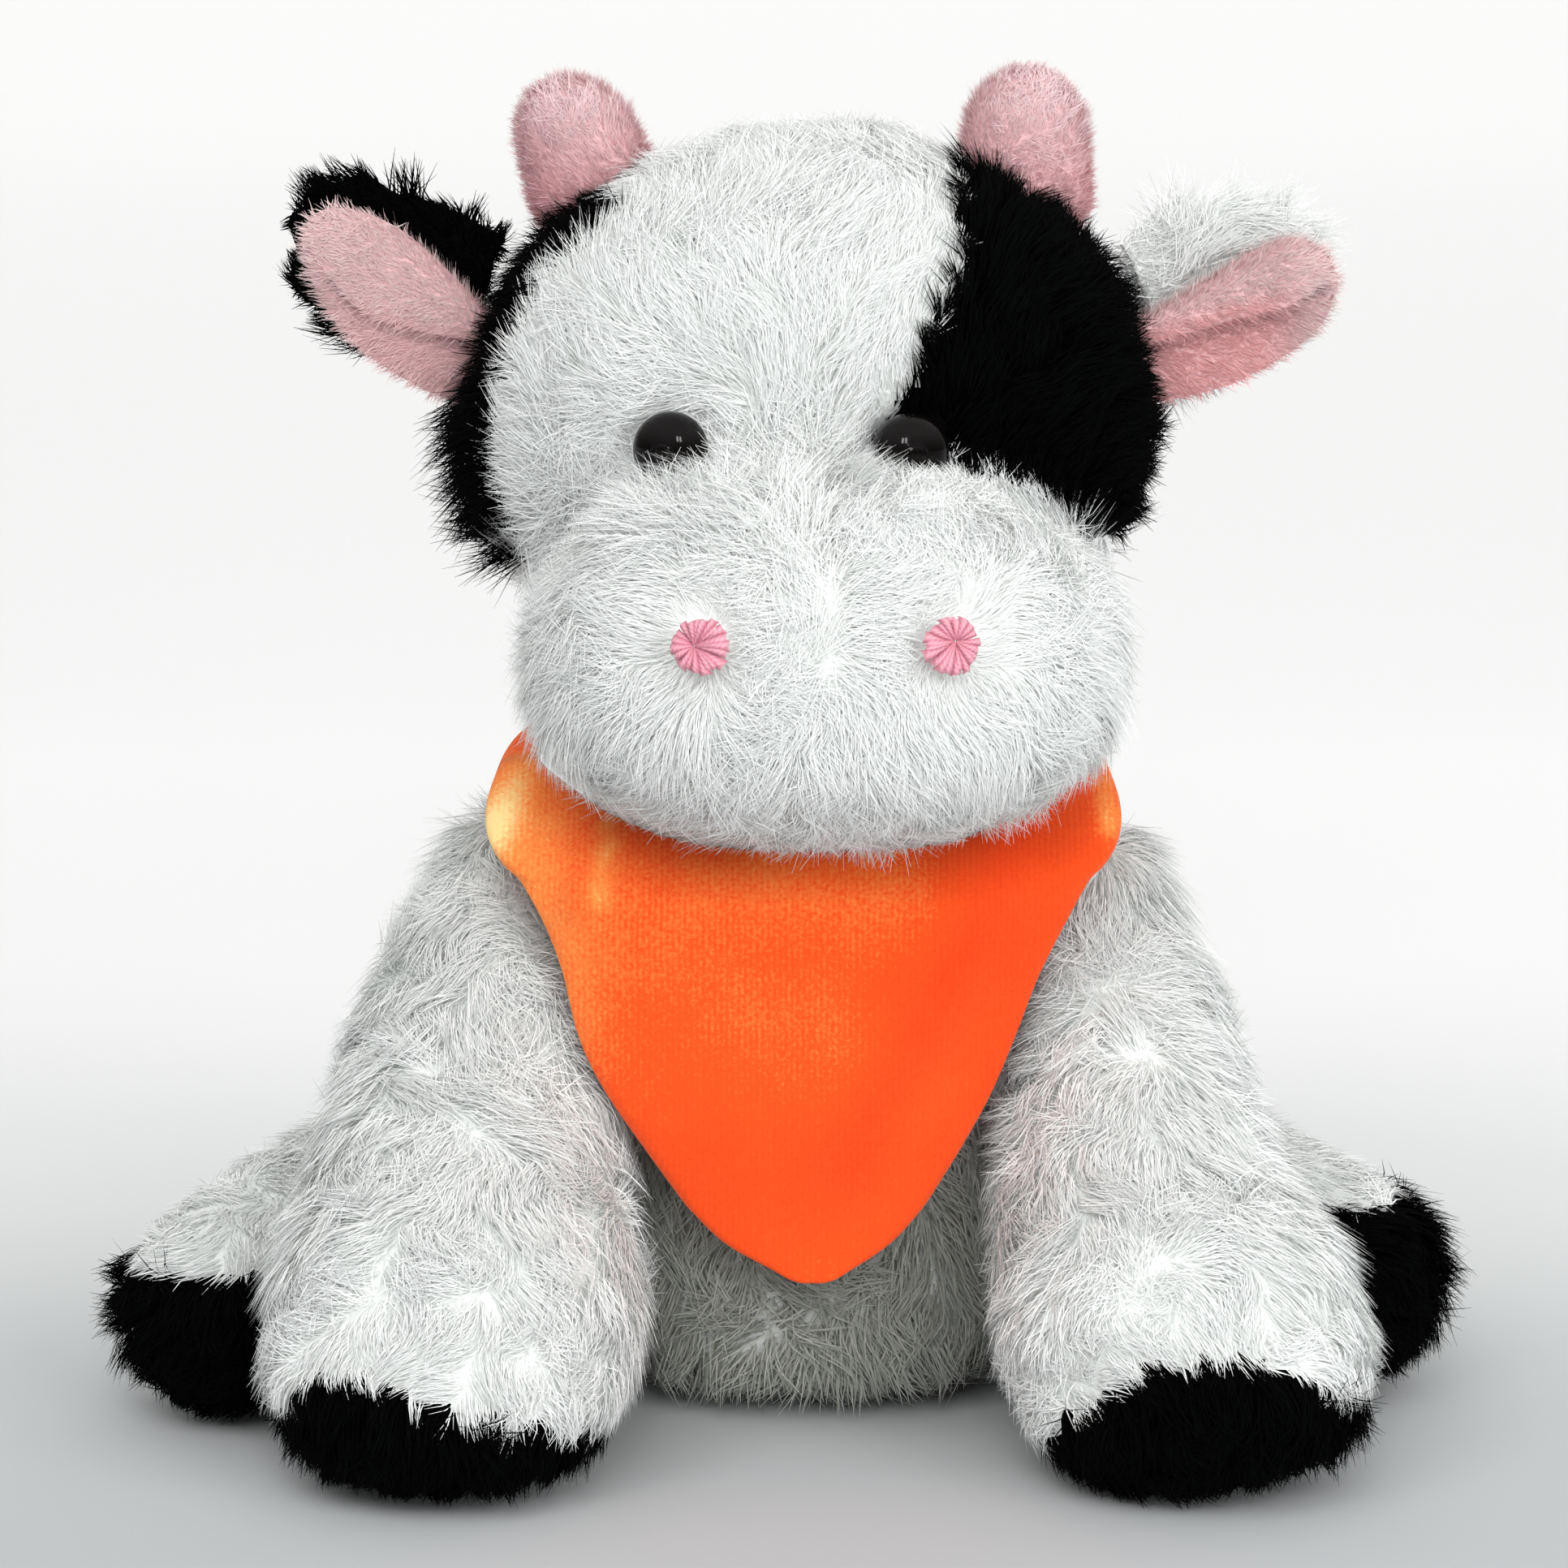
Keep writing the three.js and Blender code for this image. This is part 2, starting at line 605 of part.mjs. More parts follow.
function headParts() {
  const nodDrop = THREE.MathUtils.degToRad(headNodDown) * collarFront;
  const roomHalfSizes = new THREE.Vector3(collarWidth, collarFront, collarFront);
  const collarRoom = blob(neck, roomHalfSizes.multiplyScalar(collarRoomShare), collarSquareness)
    .subtract(beyond(new THREE.Vector3(0, 0, collarHigh + nodDrop), upward));
  const socket = ball(neck, neckRadius + neckGap).add(collarRoom);
  const shell = headForm(0).subtract(headForm(pileFabric)).subtract(socket);
  const stuffing = headForm(pileFabric + seamGap).subtract(socket);
  const rooms = Object.keys(sides).map(eyeRoom);
  const eyeOver = rooms[0].cover.add(rooms[1].cover);
  const eyeBehind = rooms[0].stuffing.add(rooms[1].stuffing);
  const horns = Object.keys(sides).map(hornSolids);
  const opened = shell.subtract(eyeOver);
  const skullShell = opened.subtract(muzzleForm(-seamGap));
  const blocks = panelBlocks(0);
  const wide = panelBlocks(seamGap);
  const face = skullShell.subtract(wide.eyePatch).subtract(wide.side);
  return [
    part('muzzle_cover', opened.intersect(muzzleForm(0)), 'whitePile'),
    part('face_panel', face.subtract(wide.back), 'whitePile'),
    part('eye_patch_panel', skullShell.intersect(blocks.eyePatch).subtract(wide.back), 'blackPile'),
    part('side_patch_panel', skullShell.intersect(blocks.side), 'blackPile'),
    part('back_panel', skullShell.intersect(blocks.back).subtract(wide.side), 'whitePile'),
    part('head_stuffing', stuffing.subtract(eyeBehind), 'stuffing'),
    ...Object.keys(sides).flatMap((side, i) => [
      part(`horn_cover_${side}`, horns[i].cover, 'pinkPile'),
      part(`horn_stuffing_${side}`, horns[i].stuffing, 'stuffing'),
      part(`eye_${side}`, eyeSolid(side), 'eyeGloss'),
      part(`eye_washer_${side}`, washerSolid(side), 'washerPlastic'),
      part(`nostril_${side}`, nostrilSolid(side), 'pinkYarn'),
    ]),
  ];
}

function hornSolids(side) {
  const lean = hornLean * hornTurn[side];
  const spine = hornWidthShares.map((_, i) => {
    const share = i / (hornWidthShares.length - 1);
    const x = sides[side] * (hornSpread + lean * share ** 2);
    return new THREE.Vector3(x, 0, hornRootHeight + hornLength * share);
  });
  const form = {
    spine,
    halfWidths: hornWidthShares.map((share) => share * hornRadius),
    halfDepths: hornWidthShares.map((share) => share * hornRadius * hornDepthShare),
    side: across,
    startRound: pileFabric * 2,
    endRound: hornTipRound,
    sides: smallSides,
    rings: smallRings,
  };
  const skull = skullForm(-seamGap);
  return {
    cover: stuffedForm(form).subtract(stuffedForm(form, pileFabric)).subtract(skull),
    stuffing: stuffedForm(form, pileFabric + seamGap).subtract(skull),
  };
}

function earPivot(side) {
  return new THREE.Vector3(sides[side] * (earRootSpread + earHalfThickness), 0, earRootHeight[side]);
}

function earParts(side) {
  const pivot = earPivot(side);
  const skull = sweptPast(skullForm(-seamGap), pivot, ahead, -earSwing, earSwing);
  const outerSpine = earHeightShares[side].map((_, i) => {
    const share = i / (earHeightShares[side].length - 1);
    const x = sides[side] * (earRootSpread + earLength * share);
    return new THREE.Vector3(x, -earSweep * share, earRootHeight[side] + earRise[side] * share);
  });
  const outer = stuffedForm({
    spine: outerSpine,
    halfWidths: earHeightShares[side].map((share) => share * earHalfHeight),
    halfDepths: earThicknessShares.map((share) => share * earHalfThickness),
    side: upward,
    startRound: earHalfThickness,
    endRound: earTipRound,
    sides: limbSides,
    rings: smallRings,
  });
  const liningForward = earHalfThickness + liningHalfThickness;
  const liningSpine = liningHeightShares.map((_, i) => {
    const share = i / (liningHeightShares.length - 1);
    const x = sides[side] * (liningRootSpread + liningLength * share);
    const z = earRootHeight[side] - liningDrop + (earRise[side] + liningDrop) * share;
    return new THREE.Vector3(x, -liningForward - earSweep * share, z);
  });
  const lining = stuffedForm({
    spine: liningSpine,
    halfWidths: liningHeightShares.map((share) => share * liningHalfHeight),
    halfDepths: earThicknessShares.map((share) => share * liningHalfThickness),
    side: upward,
    startRound: liningHalfThickness,
    endRound: liningTipRound,
    sides: limbSides,
    rings: smallRings,
  });
  const outerRoom = outer.add(outer.translate([0, -seamGap, 0]));
  return jointed(pivot, [
    part(`ear_outer_${side}`, outer.subtract(skull), side === 'left' ? 'whitePile' : 'blackPile'),
    part(`ear_lining_${side}`, lining.subtract(outerRoom).subtract(skull), 'pinkPile'),
  ]);
}

// A leg's cover, hoof cover and stuffing, cut by the torso over the whole swing and by the floor
function legSolids(form, torsoRoom, seam, normal) {
  const drop = -floorFlat - stuffedForm(form).boundingBox().min[2];
  const lowered = (inset) => stuffedForm(form, inset).translate([0, 0, drop]);
  const shell = lowered(0).subtract(lowered(pileFabric)).intersect(aboveFloor).subtract(torsoRoom);
  return {
    cover: shell.subtract(beyond(seam.clone().addScaledVector(normal, -seamGap), normal)),
    hoof: shell.intersect(beyond(seam, normal)),
    stuffing: lowered(pileFabric + seamGap).subtract(torsoRoom),
  };
}

function frontLegPivot(side) {
  return new THREE.Vector3(sides[side] * shoulderSpread, -shoulderForward, shoulderHeight);
}

function frontLegParts(side) {
  const pivot = frontLegPivot(side);
  const spine = frontLegOutShares[side].map((out, i) => {
    const offset = new THREE.Vector3(
      sides[side] * out, -frontLegForwardShares[i], -frontLegDownShares[i]);
    return offset.multiplyScalar(frontLegLength).add(pivot);
  });
  const form = {
    spine,
    halfWidths: frontLegWidthShares[side].map((share) => share * frontLegRadius),
    halfDepths: frontLegDepthShares.map((share) => share * frontLegRadius),
    side: across,
    startRound: frontLegRootRound,
    endRound: frontLegSoleRound,
    sides: limbSides,
    rings: limbRings,
  };
  const axis = ahead.clone().multiplyScalar(sides[side]);
  const torsoRoom = sweptPast(torsoForm(-seamGap), pivot, axis, 0, frontLegSwing);
  const seam = spine[spine.length - 1].clone().setZ(frontHoofHeight[side]);
  const normal = new THREE.Vector3(sides[side] * frontHoofTilt[side], -frontHoofLean, -1).normalize();
  const leg = legSolids(form, torsoRoom, seam, normal);
  return jointed(pivot, [
    part(`front_leg_cover_${side}`, leg.cover, 'whitePile'),
    part(`front_hoof_${side}`, leg.hoof, 'blackPile'),
    part(`front_leg_stuffing_${side}`, leg.stuffing, 'stuffing'),
  ]);
}

function hindLegPivot(side) {
  return new THREE.Vector3(sides[side] * hipSpread, hipBack, hipHeight);
}

function hindLegParts(side) {
  const pivot = hindLegPivot(side);
  const spine = hindLegOutShares.map((out, i) => {
    const offset = new THREE.Vector3(
      sides[side] * out, -hindLegForwardShares[i], -hindLegDownShares[i]);
    offset.multiplyScalar(hindLegLength[side]);
    return offset.applyAxisAngle(upward, sides[side] * hindLegTurn[side]).add(pivot);
  });
  const form = {
    spine,
    halfWidths: hindLegWidthShares.map((share) => share * hindLegRadius),
    halfDepths: hindLegDepthShares.map((share) => share * hindLegRadius),
    side: ahead,
    startRound: hindLegRootRound,
    endRound: hindLegSoleRound,
    sides: limbSides,
    rings: limbRings,
  };
  const axis = upward.clone().multiplyScalar(sides[side]);
  const torsoRoom = sweptPast(torsoForm(-seamGap), pivot, axis, 0, hindLegSwing);
  const sole = spine[spine.length - 1];
  const reach = sole.clone().sub(spine[spine.length - 2]).normalize();
  const seam = sole.clone().addScaledVector(reach, -hindHoofLength[side]);
  const leg = legSolids(form, torsoRoom, seam, reach.addScaledVector(upward, -hindHoofLean).normalize());
  return jointed(pivot, [
    part(`hind_leg_cover_${side}`, leg.cover, 'whitePile'),
    part(`hind_hoof_${side}`, leg.hoof, 'blackPile'),
    part(`hind_leg_stuffing_${side}`, leg.stuffing, 'stuffing'),
  ]);
}

function tailParts() {
  const pivot = new THREE.Vector3(0, tailRootBack, tailRootHeight);
  const spine = tailDropShares.map((drop, i) => new THREE.Vector3(
    0, pivot.y + tailBackShares[i] * tailLength, pivot.z - drop * tailLength));
  const end = spine[spine.length - 1];
  const lean = end.clone().sub(spine[spine.length - 2]).normalize();
  const torsoRoom = sweptPast(torsoForm(-seamGap), pivot, upward, -tailSwing, tailSwing);
  const tail = stuffedForm({
    spine,
    halfWidths: [tailRadius, tailRadius],
    halfDepths: [tailRadius, tailRadius],
    side: across,
    startRound: tailRadius,
    endRound: tailRadius,
    sides: smallSides,
    rings: smallRings,
  });
  const tuftSpine = tuftSpineShares.map((share) => end.clone().addScaledVector(lean, share * tuftLength));
  const tuft = stuffedForm({
    spine: tuftSpine,
    halfWidths: tuftWidthShares.map((share) => share * tuftRadius),
    halfDepths: tuftWidthShares.map((share) => share * tuftRadius),
    side: across,
    startRound: tuftRadius,
    endRound: tuftRadius,
    sides: smallSides,
    rings: smallRings,
  });
  const tuftRoom = beyond(end.clone().addScaledVector(lean, -seamGap), lean);
  return jointed(pivot, [
    part('tail', tail.subtract(tuftRoom).subtract(torsoRoom), 'whitePile'),
    part('tail_tuft', tuft.intersect(beyond(end, lean)), 'blackPile'),
  ]);
}

// A sheet with a thickness from a grid of middle points; closed joins its last column to its first
function sheet(grid, thickness, closed) {
  const rows = grid.length;
  const columns = grid[0].length;
  const wrap = (j) => (closed ? (j + columns) % columns : Math.min(columns - 1, Math.max(0, j)));
  const clamp = (i) => Math.min(rows - 1, Math.max(0, i));
  const points = [];
  for (const face of [-1, 1]) {
    for (let i = 0; i < rows; i += 1) {
      for (let j = 0; j < columns; j += 1) {
        const acrossGrid = grid[i][wrap(j + 1)].clone().sub(grid[i][wrap(j - 1)]);
        const downGrid = grid[clamp(i + 1)][j].clone().sub(grid[clamp(i - 1)][j]);
        const normal = acrossGrid.cross(downGrid).normalize();
        points.push(grid[i][j].clone().addScaledVector(normal, face * thickness / 2));
      }
    }
  }
  const at = (face, i, j) => face * rows * columns + i * columns + wrap(j);
  const indices = [];
  const quad = (a, b, c, d) => indices.push(a, b, c, a, c, d);
  const last = closed ? columns : columns - 1;
  for (let j = 0; j < last; j += 1) {
    for (let i = 0; i < rows - 1; i += 1) {
      quad(at(1, i, j), at(1, i, j + 1), at(1, i + 1, j + 1), at(1, i + 1, j));
      quad(at(0, i, j), at(0, i + 1, j), at(0, i + 1, j + 1), at(0, i, j + 1));
    }
    quad(at(0, 0, j), at(0, 0, j + 1), at(1, 0, j + 1), at(1, 0, j));
    quad(at(0, rows - 1, j + 1), at(0, rows - 1, j), at(1, rows - 1, j), at(1, rows - 1, j + 1));
  }
  if (!closed) {
    for (let i = 0; i < rows - 1; i += 1) {
      quad(at(0, i + 1, 0), at(0, i, 0), at(1, i, 0), at(1, i + 1, 0));
      quad(at(0, i, last), at(0, i + 1, last), at(1, i + 1, last), at(1, i, last));
    }
  }
  const geometry = new THREE.BufferGeometry().setFromPoints(points);
  geometry.setIndex(indices);
  return solidOf(geometry);
}

function collarEdge(shares) {
  const half = shares.map(([out, forward, rise]) => {
    const reach = forward > 0 ? collarFront : collarBack;
    const z = collarLow + rise * (collarHigh - collarLow);
    return new THREE.Vector3(out * collarWidth, -forward * reach, z);
  });
  const mirrored = half.slice(1, -1).reverse().map(({ x, y, z }) => new THREE.Vector3(-x, y, z));
  const curve = new THREE.CatmullRomCurve3([...half, ...mirrored], true);
  return (share) => curve.getPoint(share);
}

function collarSolid() {
  const edges = [collarHighShares, collarMidShares, collarLowShares].map(collarEdge);
  const grid = [];
  for (let i = 0; i < collarRows; i += 1) {
    const down = i / (collarRows - 1);
    grid.push(Array.from({ length: collarColumns }, (_, j) => {
      const [high, mid, low] = edges.map((edge) => edge(j / collarColumns));
      const bend = mid.multiplyScalar(2).sub(high.clone().add(low).divideScalar(2));
      return new THREE.QuadraticBezierCurve3(high, bend, low).getPoint(down);
    }));
  }
  return sheet(grid, bandanaCloth, true);
}

function flapPivot() {
  return new THREE.Vector3(0, -collarFront, collarLow);
}

function flapSolid() {
  const grid = flapWidthShares.map((widthShare, i) => Array.from({ length: flapColumns + 1 }, (_, j) => {
    const out = (2 * j / flapColumns - 1) * widthShare;
    const z = collarLow - flapHinge - flapDropShares[i] * flapDrop * (1 - out * out * flapCrownShare);
    const y = -collarFront - flapDropShares[i] * flapLean + flapSag * out * out;
    return new THREE.Vector3(out * flapHalfWidth, y, z);
  }));
  return sheet(grid, bandanaCloth, false);
}

function knotSolid() {
  const height = collarLow + knotHeightShare * (collarHigh - collarLow);
  const y = collarBack - knotSink + bandanaCloth / 2 + seamGap + knotHalfDepth;
  const centre = new THREE.Vector3(0, y, height);
  const halfSizes = new THREE.Vector3(knotHalfWidth, knotHalfDepth, knotHalfHeight);
  let knot = blob(centre, halfSizes, muzzleSquareness, 0, smallSides, smallRings);
  for (const side of Object.values(sides)) {
    const spine = knotTailWidthShares.map((_, i) => {
      const share = i / (knotTailWidthShares.length - 1);
      const x = side * (knotHalfWidth * knotTailRootShare + knotTail * knotTailOutShare * share);
      const z = centre.z - knotTail * knotTailDownShare * share;
      return new THREE.Vector3(x, centre.y + bandanaCloth * share, z);
    });
    knot = knot.add(stuffedForm({
      spine,
      halfWidths: knotTailWidthShares.map((share) => share * knotTailHalfWidth),
      halfDepths: [bandanaCloth, bandanaCloth],
      side: across,
      startRound: bandanaCloth,
      endRound: knotTailHalfWidth,
      sides: smallSides,
      rings: smallRings,
    }));
  }
  return knot;
}

function buildCow() {
  const cow = new THREE.Group();
  for (const mesh of torsoParts()) cow.add(mesh);
  const head = jointed(neck, headParts());
  for (const side of Object.keys(sides)) {
    const ear = earParts(side);
    ear.position.sub(neck);
    head.add(ear);
    cow.add(frontLegParts(side));
    cow.add(hindLegParts(side));
  }
  cow.add(head);
  cow.add(tailParts());
  cow.add(part('bandana_collar', collarSolid(), 'orangeCloth'));
  cow.add(part('bandana_knot', knotSolid(), 'orangeCloth'));
  cow.add(jointed(flapPivot(), [part('bandana_flap', flapSolid(), 'orangeCloth')]));
  // The origin is the middle of the footprint, on the floor
  const reach = new THREE.Box3().setFromObject(cow);
  const middle = reach.getCenter(new THREE.Vector3());
  cow.position.set(-middle.x, -middle.y, -reach.min.z);
  cow.updateMatrixWorld(true);
  return cow;
}

const cow = buildCow();

export default cow;
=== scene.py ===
"""Seated plush cow: long pile sewn over soft stuffing, glossy safety eyes and a ribbed cloth bandana."""

import json
import math

import bpy
import numpy as np
from mathutils import Matrix, Vector
from mathutils.bvhtree import BVHTree
from mathutils.kdtree import KDTree


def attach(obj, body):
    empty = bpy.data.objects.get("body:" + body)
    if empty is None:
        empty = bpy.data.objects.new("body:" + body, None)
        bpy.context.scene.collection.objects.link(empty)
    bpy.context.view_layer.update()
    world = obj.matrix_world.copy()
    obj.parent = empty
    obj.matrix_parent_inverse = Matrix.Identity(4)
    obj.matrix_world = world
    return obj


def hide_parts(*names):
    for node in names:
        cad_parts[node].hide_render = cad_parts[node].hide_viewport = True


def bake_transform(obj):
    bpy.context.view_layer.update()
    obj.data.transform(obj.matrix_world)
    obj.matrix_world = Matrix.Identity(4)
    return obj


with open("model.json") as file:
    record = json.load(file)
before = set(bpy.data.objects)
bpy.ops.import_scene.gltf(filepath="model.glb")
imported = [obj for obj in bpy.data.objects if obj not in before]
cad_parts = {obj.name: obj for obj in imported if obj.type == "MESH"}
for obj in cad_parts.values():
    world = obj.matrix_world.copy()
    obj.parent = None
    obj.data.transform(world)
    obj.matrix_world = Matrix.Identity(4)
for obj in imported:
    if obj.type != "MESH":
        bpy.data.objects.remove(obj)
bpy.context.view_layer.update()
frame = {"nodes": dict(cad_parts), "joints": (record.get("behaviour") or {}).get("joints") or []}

MM = 0.001
NODES = frame["nodes"]
JOINTS = {joint["name"]: joint for joint in frame["joints"]}

# Places are measured on the toy's middle plane from a point under the neck hinge, a little above the floor
NECK_HEIGHT = 88
ORIGIN = np.array(JOINTS["head_nod"]["pos_m"]) - np.array([0, 0, NECK_HEIGHT * MM])
FLOOR = -ORIGIN[2] / MM


def at(x, y, z):
    """A place in the toy's own millimetres, as metres in the frame."""
    return ORIGIN + np.array([x, y, z], float) * MM


# ---------------------------------------------------------------- camera, light and stage

CAMERA_TARGET = (-4.5, 0, 97.3)
CAMERA_DISTANCE = 1.0
CAMERA_ELEVATION = math.radians(12)
CAMERA_LENS = 139.75

WORLD_LEVEL = 0.8
KEY_POWER = 2.9
FILL_POWER = 3.7
STRIP_POWER = 0.7
BACKGROUND_LEVEL = 0.95


def make_camera():
    data = bpy.data.cameras.new("camera")
    data.lens = CAMERA_LENS
    data.sensor_width = 36
    camera = bpy.data.objects.new("camera", data)
    back = np.array([0, -math.cos(CAMERA_ELEVATION), math.sin(CAMERA_ELEVATION)])
    camera.location = at(*CAMERA_TARGET) + CAMERA_DISTANCE * back
    camera.rotation_euler = (math.pi / 2 - CAMERA_ELEVATION, 0, 0)
    bpy.context.scene.collection.objects.link(camera)
    bpy.context.scene.camera = camera


def make_lamp(name, place, size, power, aim=(0, 0, 100)):
    """A flat lamp turned to a place. The eyes mirror only the narrow strips."""
    data = bpy.data.lights.new(name, "AREA")
    data.shape = "RECTANGLE"
    data.size, data.size_y = size
    data.energy = power
    lamp = bpy.data.objects.new(name, data)
    lamp.location = at(*place)
    lamp.rotation_euler = (Vector(at(*aim)) - lamp.location).to_track_quat("-Z", "Y").to_euler()
    lamp.visible_glossy = name.startswith("strip")
    bpy.context.scene.collection.objects.link(lamp)


class Value:
    """A number or a vector in a node tree; arithmetic on it adds nodes, and a vector is multiplied by a number."""

    def __init__(self, graph, socket):
        self.graph, self.socket = graph, socket
        self.is_vector = socket.type in ("VECTOR", "RGBA")

    def combine(self, operation, first, second):
        if not self.is_vector:
            return self.graph.math(operation, first, second)
        return self.graph.vector("SCALE" if operation == "MULTIPLY" else operation, first, second)

    def __add__(self, other):
        return self.combine("ADD", self, other)

    def __sub__(self, other):
        return self.combine("SUBTRACT", self, other)

    def __rsub__(self, other):
        return self.combine("SUBTRACT", other, self)

    def __mul__(self, other):
        return self.combine("MULTIPLY", self, other)

    def __truediv__(self, other):
        return self.combine("DIVIDE", self, other)

    def __rtruediv__(self, other):
        return self.combine("DIVIDE", other, self)

    def __pow__(self, other):
        return self.combine("POWER", self, other)


class Graph:
    """Adds nodes to one tree. A value is a number, a tuple, a socket or a Value."""

    def __init__(self, tree):
        self.tree = tree

    def add(self, kind, values=None, **settings):
        node = self.tree.nodes.new(kind)
        for key, value in settings.items():
            setattr(node, key, value)
        for key, value in (values or {}).items():
            self.feed(node.inputs[key], value)
        return node

    def out(self, name, kind, values=None, **settings):
        """Adds a node for one of its outputs."""
        return Value(self, self.add(kind, values, **settings).outputs[name])

    def feed(self, socket, value):
        value = value.socket if isinstance(value, Value) else value
        if isinstance(value, bpy.types.NodeSocket):
            self.tree.links.new(value, socket)
        else:
            socket.default_value = value

    def math(self, operation, *values):
        node = self.add("ShaderNodeMath", operation=operation)
        for socket, value in zip(node.inputs, values):
            self.feed(socket, value)
        return Value(self, node.outputs[0])

    def vector(self, operation, *values):
        node = self.add("ShaderNodeVectorMath", operation=operation)
        for socket, value in zip([s for s in node.inputs if s.enabled], values):
            self.feed(socket, value)
        return Value(self, node.outputs["Value" if operation == "DOT_PRODUCT" else "Vector"])

    def split(self, vector):
        return [Value(self, socket) for socket in self.add("ShaderNodeSeparateXYZ", {"Vector": vector}).outputs]

    def join(self, x=0.0, y=0.0, z=0.0):
        return self.out("Vector", "ShaderNodeCombineXYZ", {"X": x, "Y": y, "Z": z})

    def mix(self, factor, a, b, kind="RGBA", blend="MIX"):
        node = self.add("ShaderNodeMix", data_type=kind)
        if kind == "RGBA":
            node.blend_type = blend
        for socket, value in zip([s for s in node.inputs if s.enabled], (factor, a, b)):
            self.feed(socket, value)
        return Value(self, next(s for s in node.outputs if s.enabled))

    def ramp(self, value, low, high, start=0.0, end=1.0, course="SMOOTHSTEP"):
        """A value mapped from one range to another and held at both ends."""
        values = {"Value": value, "From Min": low, "From Max": high, "To Min": start, "To Max": end}
        return self.out("Result", "ShaderNodeMapRange", values, interpolation_type=course)

    def place(self, output="Object"):
        return self.out(output, "ShaderNodeTexCoord")

    def noise(self, where, scale, detail, output="Fac", **values):
        return self.out(output, "ShaderNodeTexNoise", {"Vector": where, "Scale": scale, "Detail": detail} | values)

    def bump(self, shader, height, strength, distance):
        values = {"Height": height, "Strength": strength, "Distance": distance}
        self.feed(shader.inputs["Normal"], self.out("Normal", "ShaderNodeBump", values))

    def seen(self, name):
        """An attribute of the mesh, for a material."""
        return self.out("Fac", "ShaderNodeAttribute", attribute_name=name)

    def named(self, name, kind="FLOAT"):
        """An attribute of the mesh, for geometry."""
        return self.out("Attribute", "GeometryNodeInputNamedAttribute", {"Name": name}, data_type=kind)

    def step(self, kind, geometry, values=None, given="Geometry", made="Geometry", **settings):
        """Adds a node that changes a geometry, for what it makes."""
        return self.add(kind, {given: geometry} | (values or {}), **settings).outputs[made]

    def stored(self, geometry, name, value, kind="FLOAT"):
        values = {"Name": name, "Value": value}
        return self.step("GeometryNodeStoreNamedAttribute", geometry, values, data_type=kind, domain="POINT")

    def random(self, low, high, seed=0, kind="FLOAT"):
        node = self.add("FunctionNodeRandomValue", data_type=kind)
        for socket, value in zip([s for s in node.inputs if s.enabled], (low, high)):
            self.feed(socket, value)
        self.feed(node.inputs["Seed"], seed)
        return Value(self, next(s for s in node.outputs if s.enabled))


def node_group(name, kind, inputs, output):
    """A tree of its own with its graph and its inputs, each named with its kind of socket, and with one output."""
    tree = bpy.data.node_groups.new(name, kind)
    for key, form in inputs.items():
        tree.interface.new_socket(key, in_out="INPUT", socket_type=f"NodeSocket{form}")
    tree.interface.new_socket(output, in_out="OUTPUT", socket_type=f"NodeSocket{output}")
    graph = Graph(tree)
    sockets = graph.add("NodeGroupInput").outputs
    return tree, graph, {key: Value(graph, sockets[key]) for key in inputs}


def colour(r, g, b):
    """A display colour of 0 to 255 as linear values."""
    return (*[(c / 255 / 12.92) if c <= 10 else ((c / 255 + 0.055) / 1.055) ** 2.4 for c in (r, g, b)], 1.0)


def new_material(name, values):
    """A material with its graph and its shader, which takes these values."""
    material = bpy.data.materials.new(name)
    material.use_nodes = True
    graph = Graph(material.node_tree)
    shader = material.node_tree.nodes["Principled BSDF"]
    for key, value in values.items():
        shader.inputs[key].default_value = value
    return material, graph, shader


def make_stage():
    """A pale floor that curves up into a pale wall."""
    reach, flat, corner, height, half_width, steps = 2.2, 1.7, 0.5, 1.8, 3.2, 16
    profile = [(-reach, 0.0)]
    for i in range(steps + 1):
        angle = math.pi / 2 * i / steps
        profile.append((flat + corner * math.sin(angle), corner * (1 - math.cos(angle))))
    profile.append((flat + corner, height))
    mesh = grid_mesh("backdrop", np.array([[(side * half_width, y, z) for side in (-1, 1)] for y, z in profile]))
    stage = linked("backdrop", mesh)
    material, graph, shader = new_material("backdrop", {
        "Roughness": 0.9, "Specular IOR Level": 0.1, "Emission Color": (0.99, 0.985, 0.98, 1.0)})
    where = graph.place()
    depth = graph.split(where)[1]
    # Painted shade and painted light: the floor is darker towards the front and paler towards the wall
    floor = graph.mix(graph.ramp(depth, -0.14, 0.06), colour(181, 184, 186), colour(204, 207, 208))
    base = graph.mix(graph.ramp(depth, 0.0, 0.3), floor, colour(238, 239, 239))
    graph.feed(shader.inputs["Base Color"], base)
    # Painted light: the wall behind glows, which only the camera sees
    wall = graph.ramp(depth, 0.03, 0.5, 0.11, 0.25, "LINEAR") + graph.ramp(depth, 0.6, 2.1, 0.0, 0.17, "LINEAR")
    shown = graph.out("Is Camera Ray", "ShaderNodeLightPath")
    graph.feed(shader.inputs["Emission Strength"], wall * graph.ramp(depth, -0.02, 0.11) * shown)
    graph.bump(shader, graph.noise(where, 900.0, 3.0), 0.1, 0.0002)
    mesh.materials.append(material)


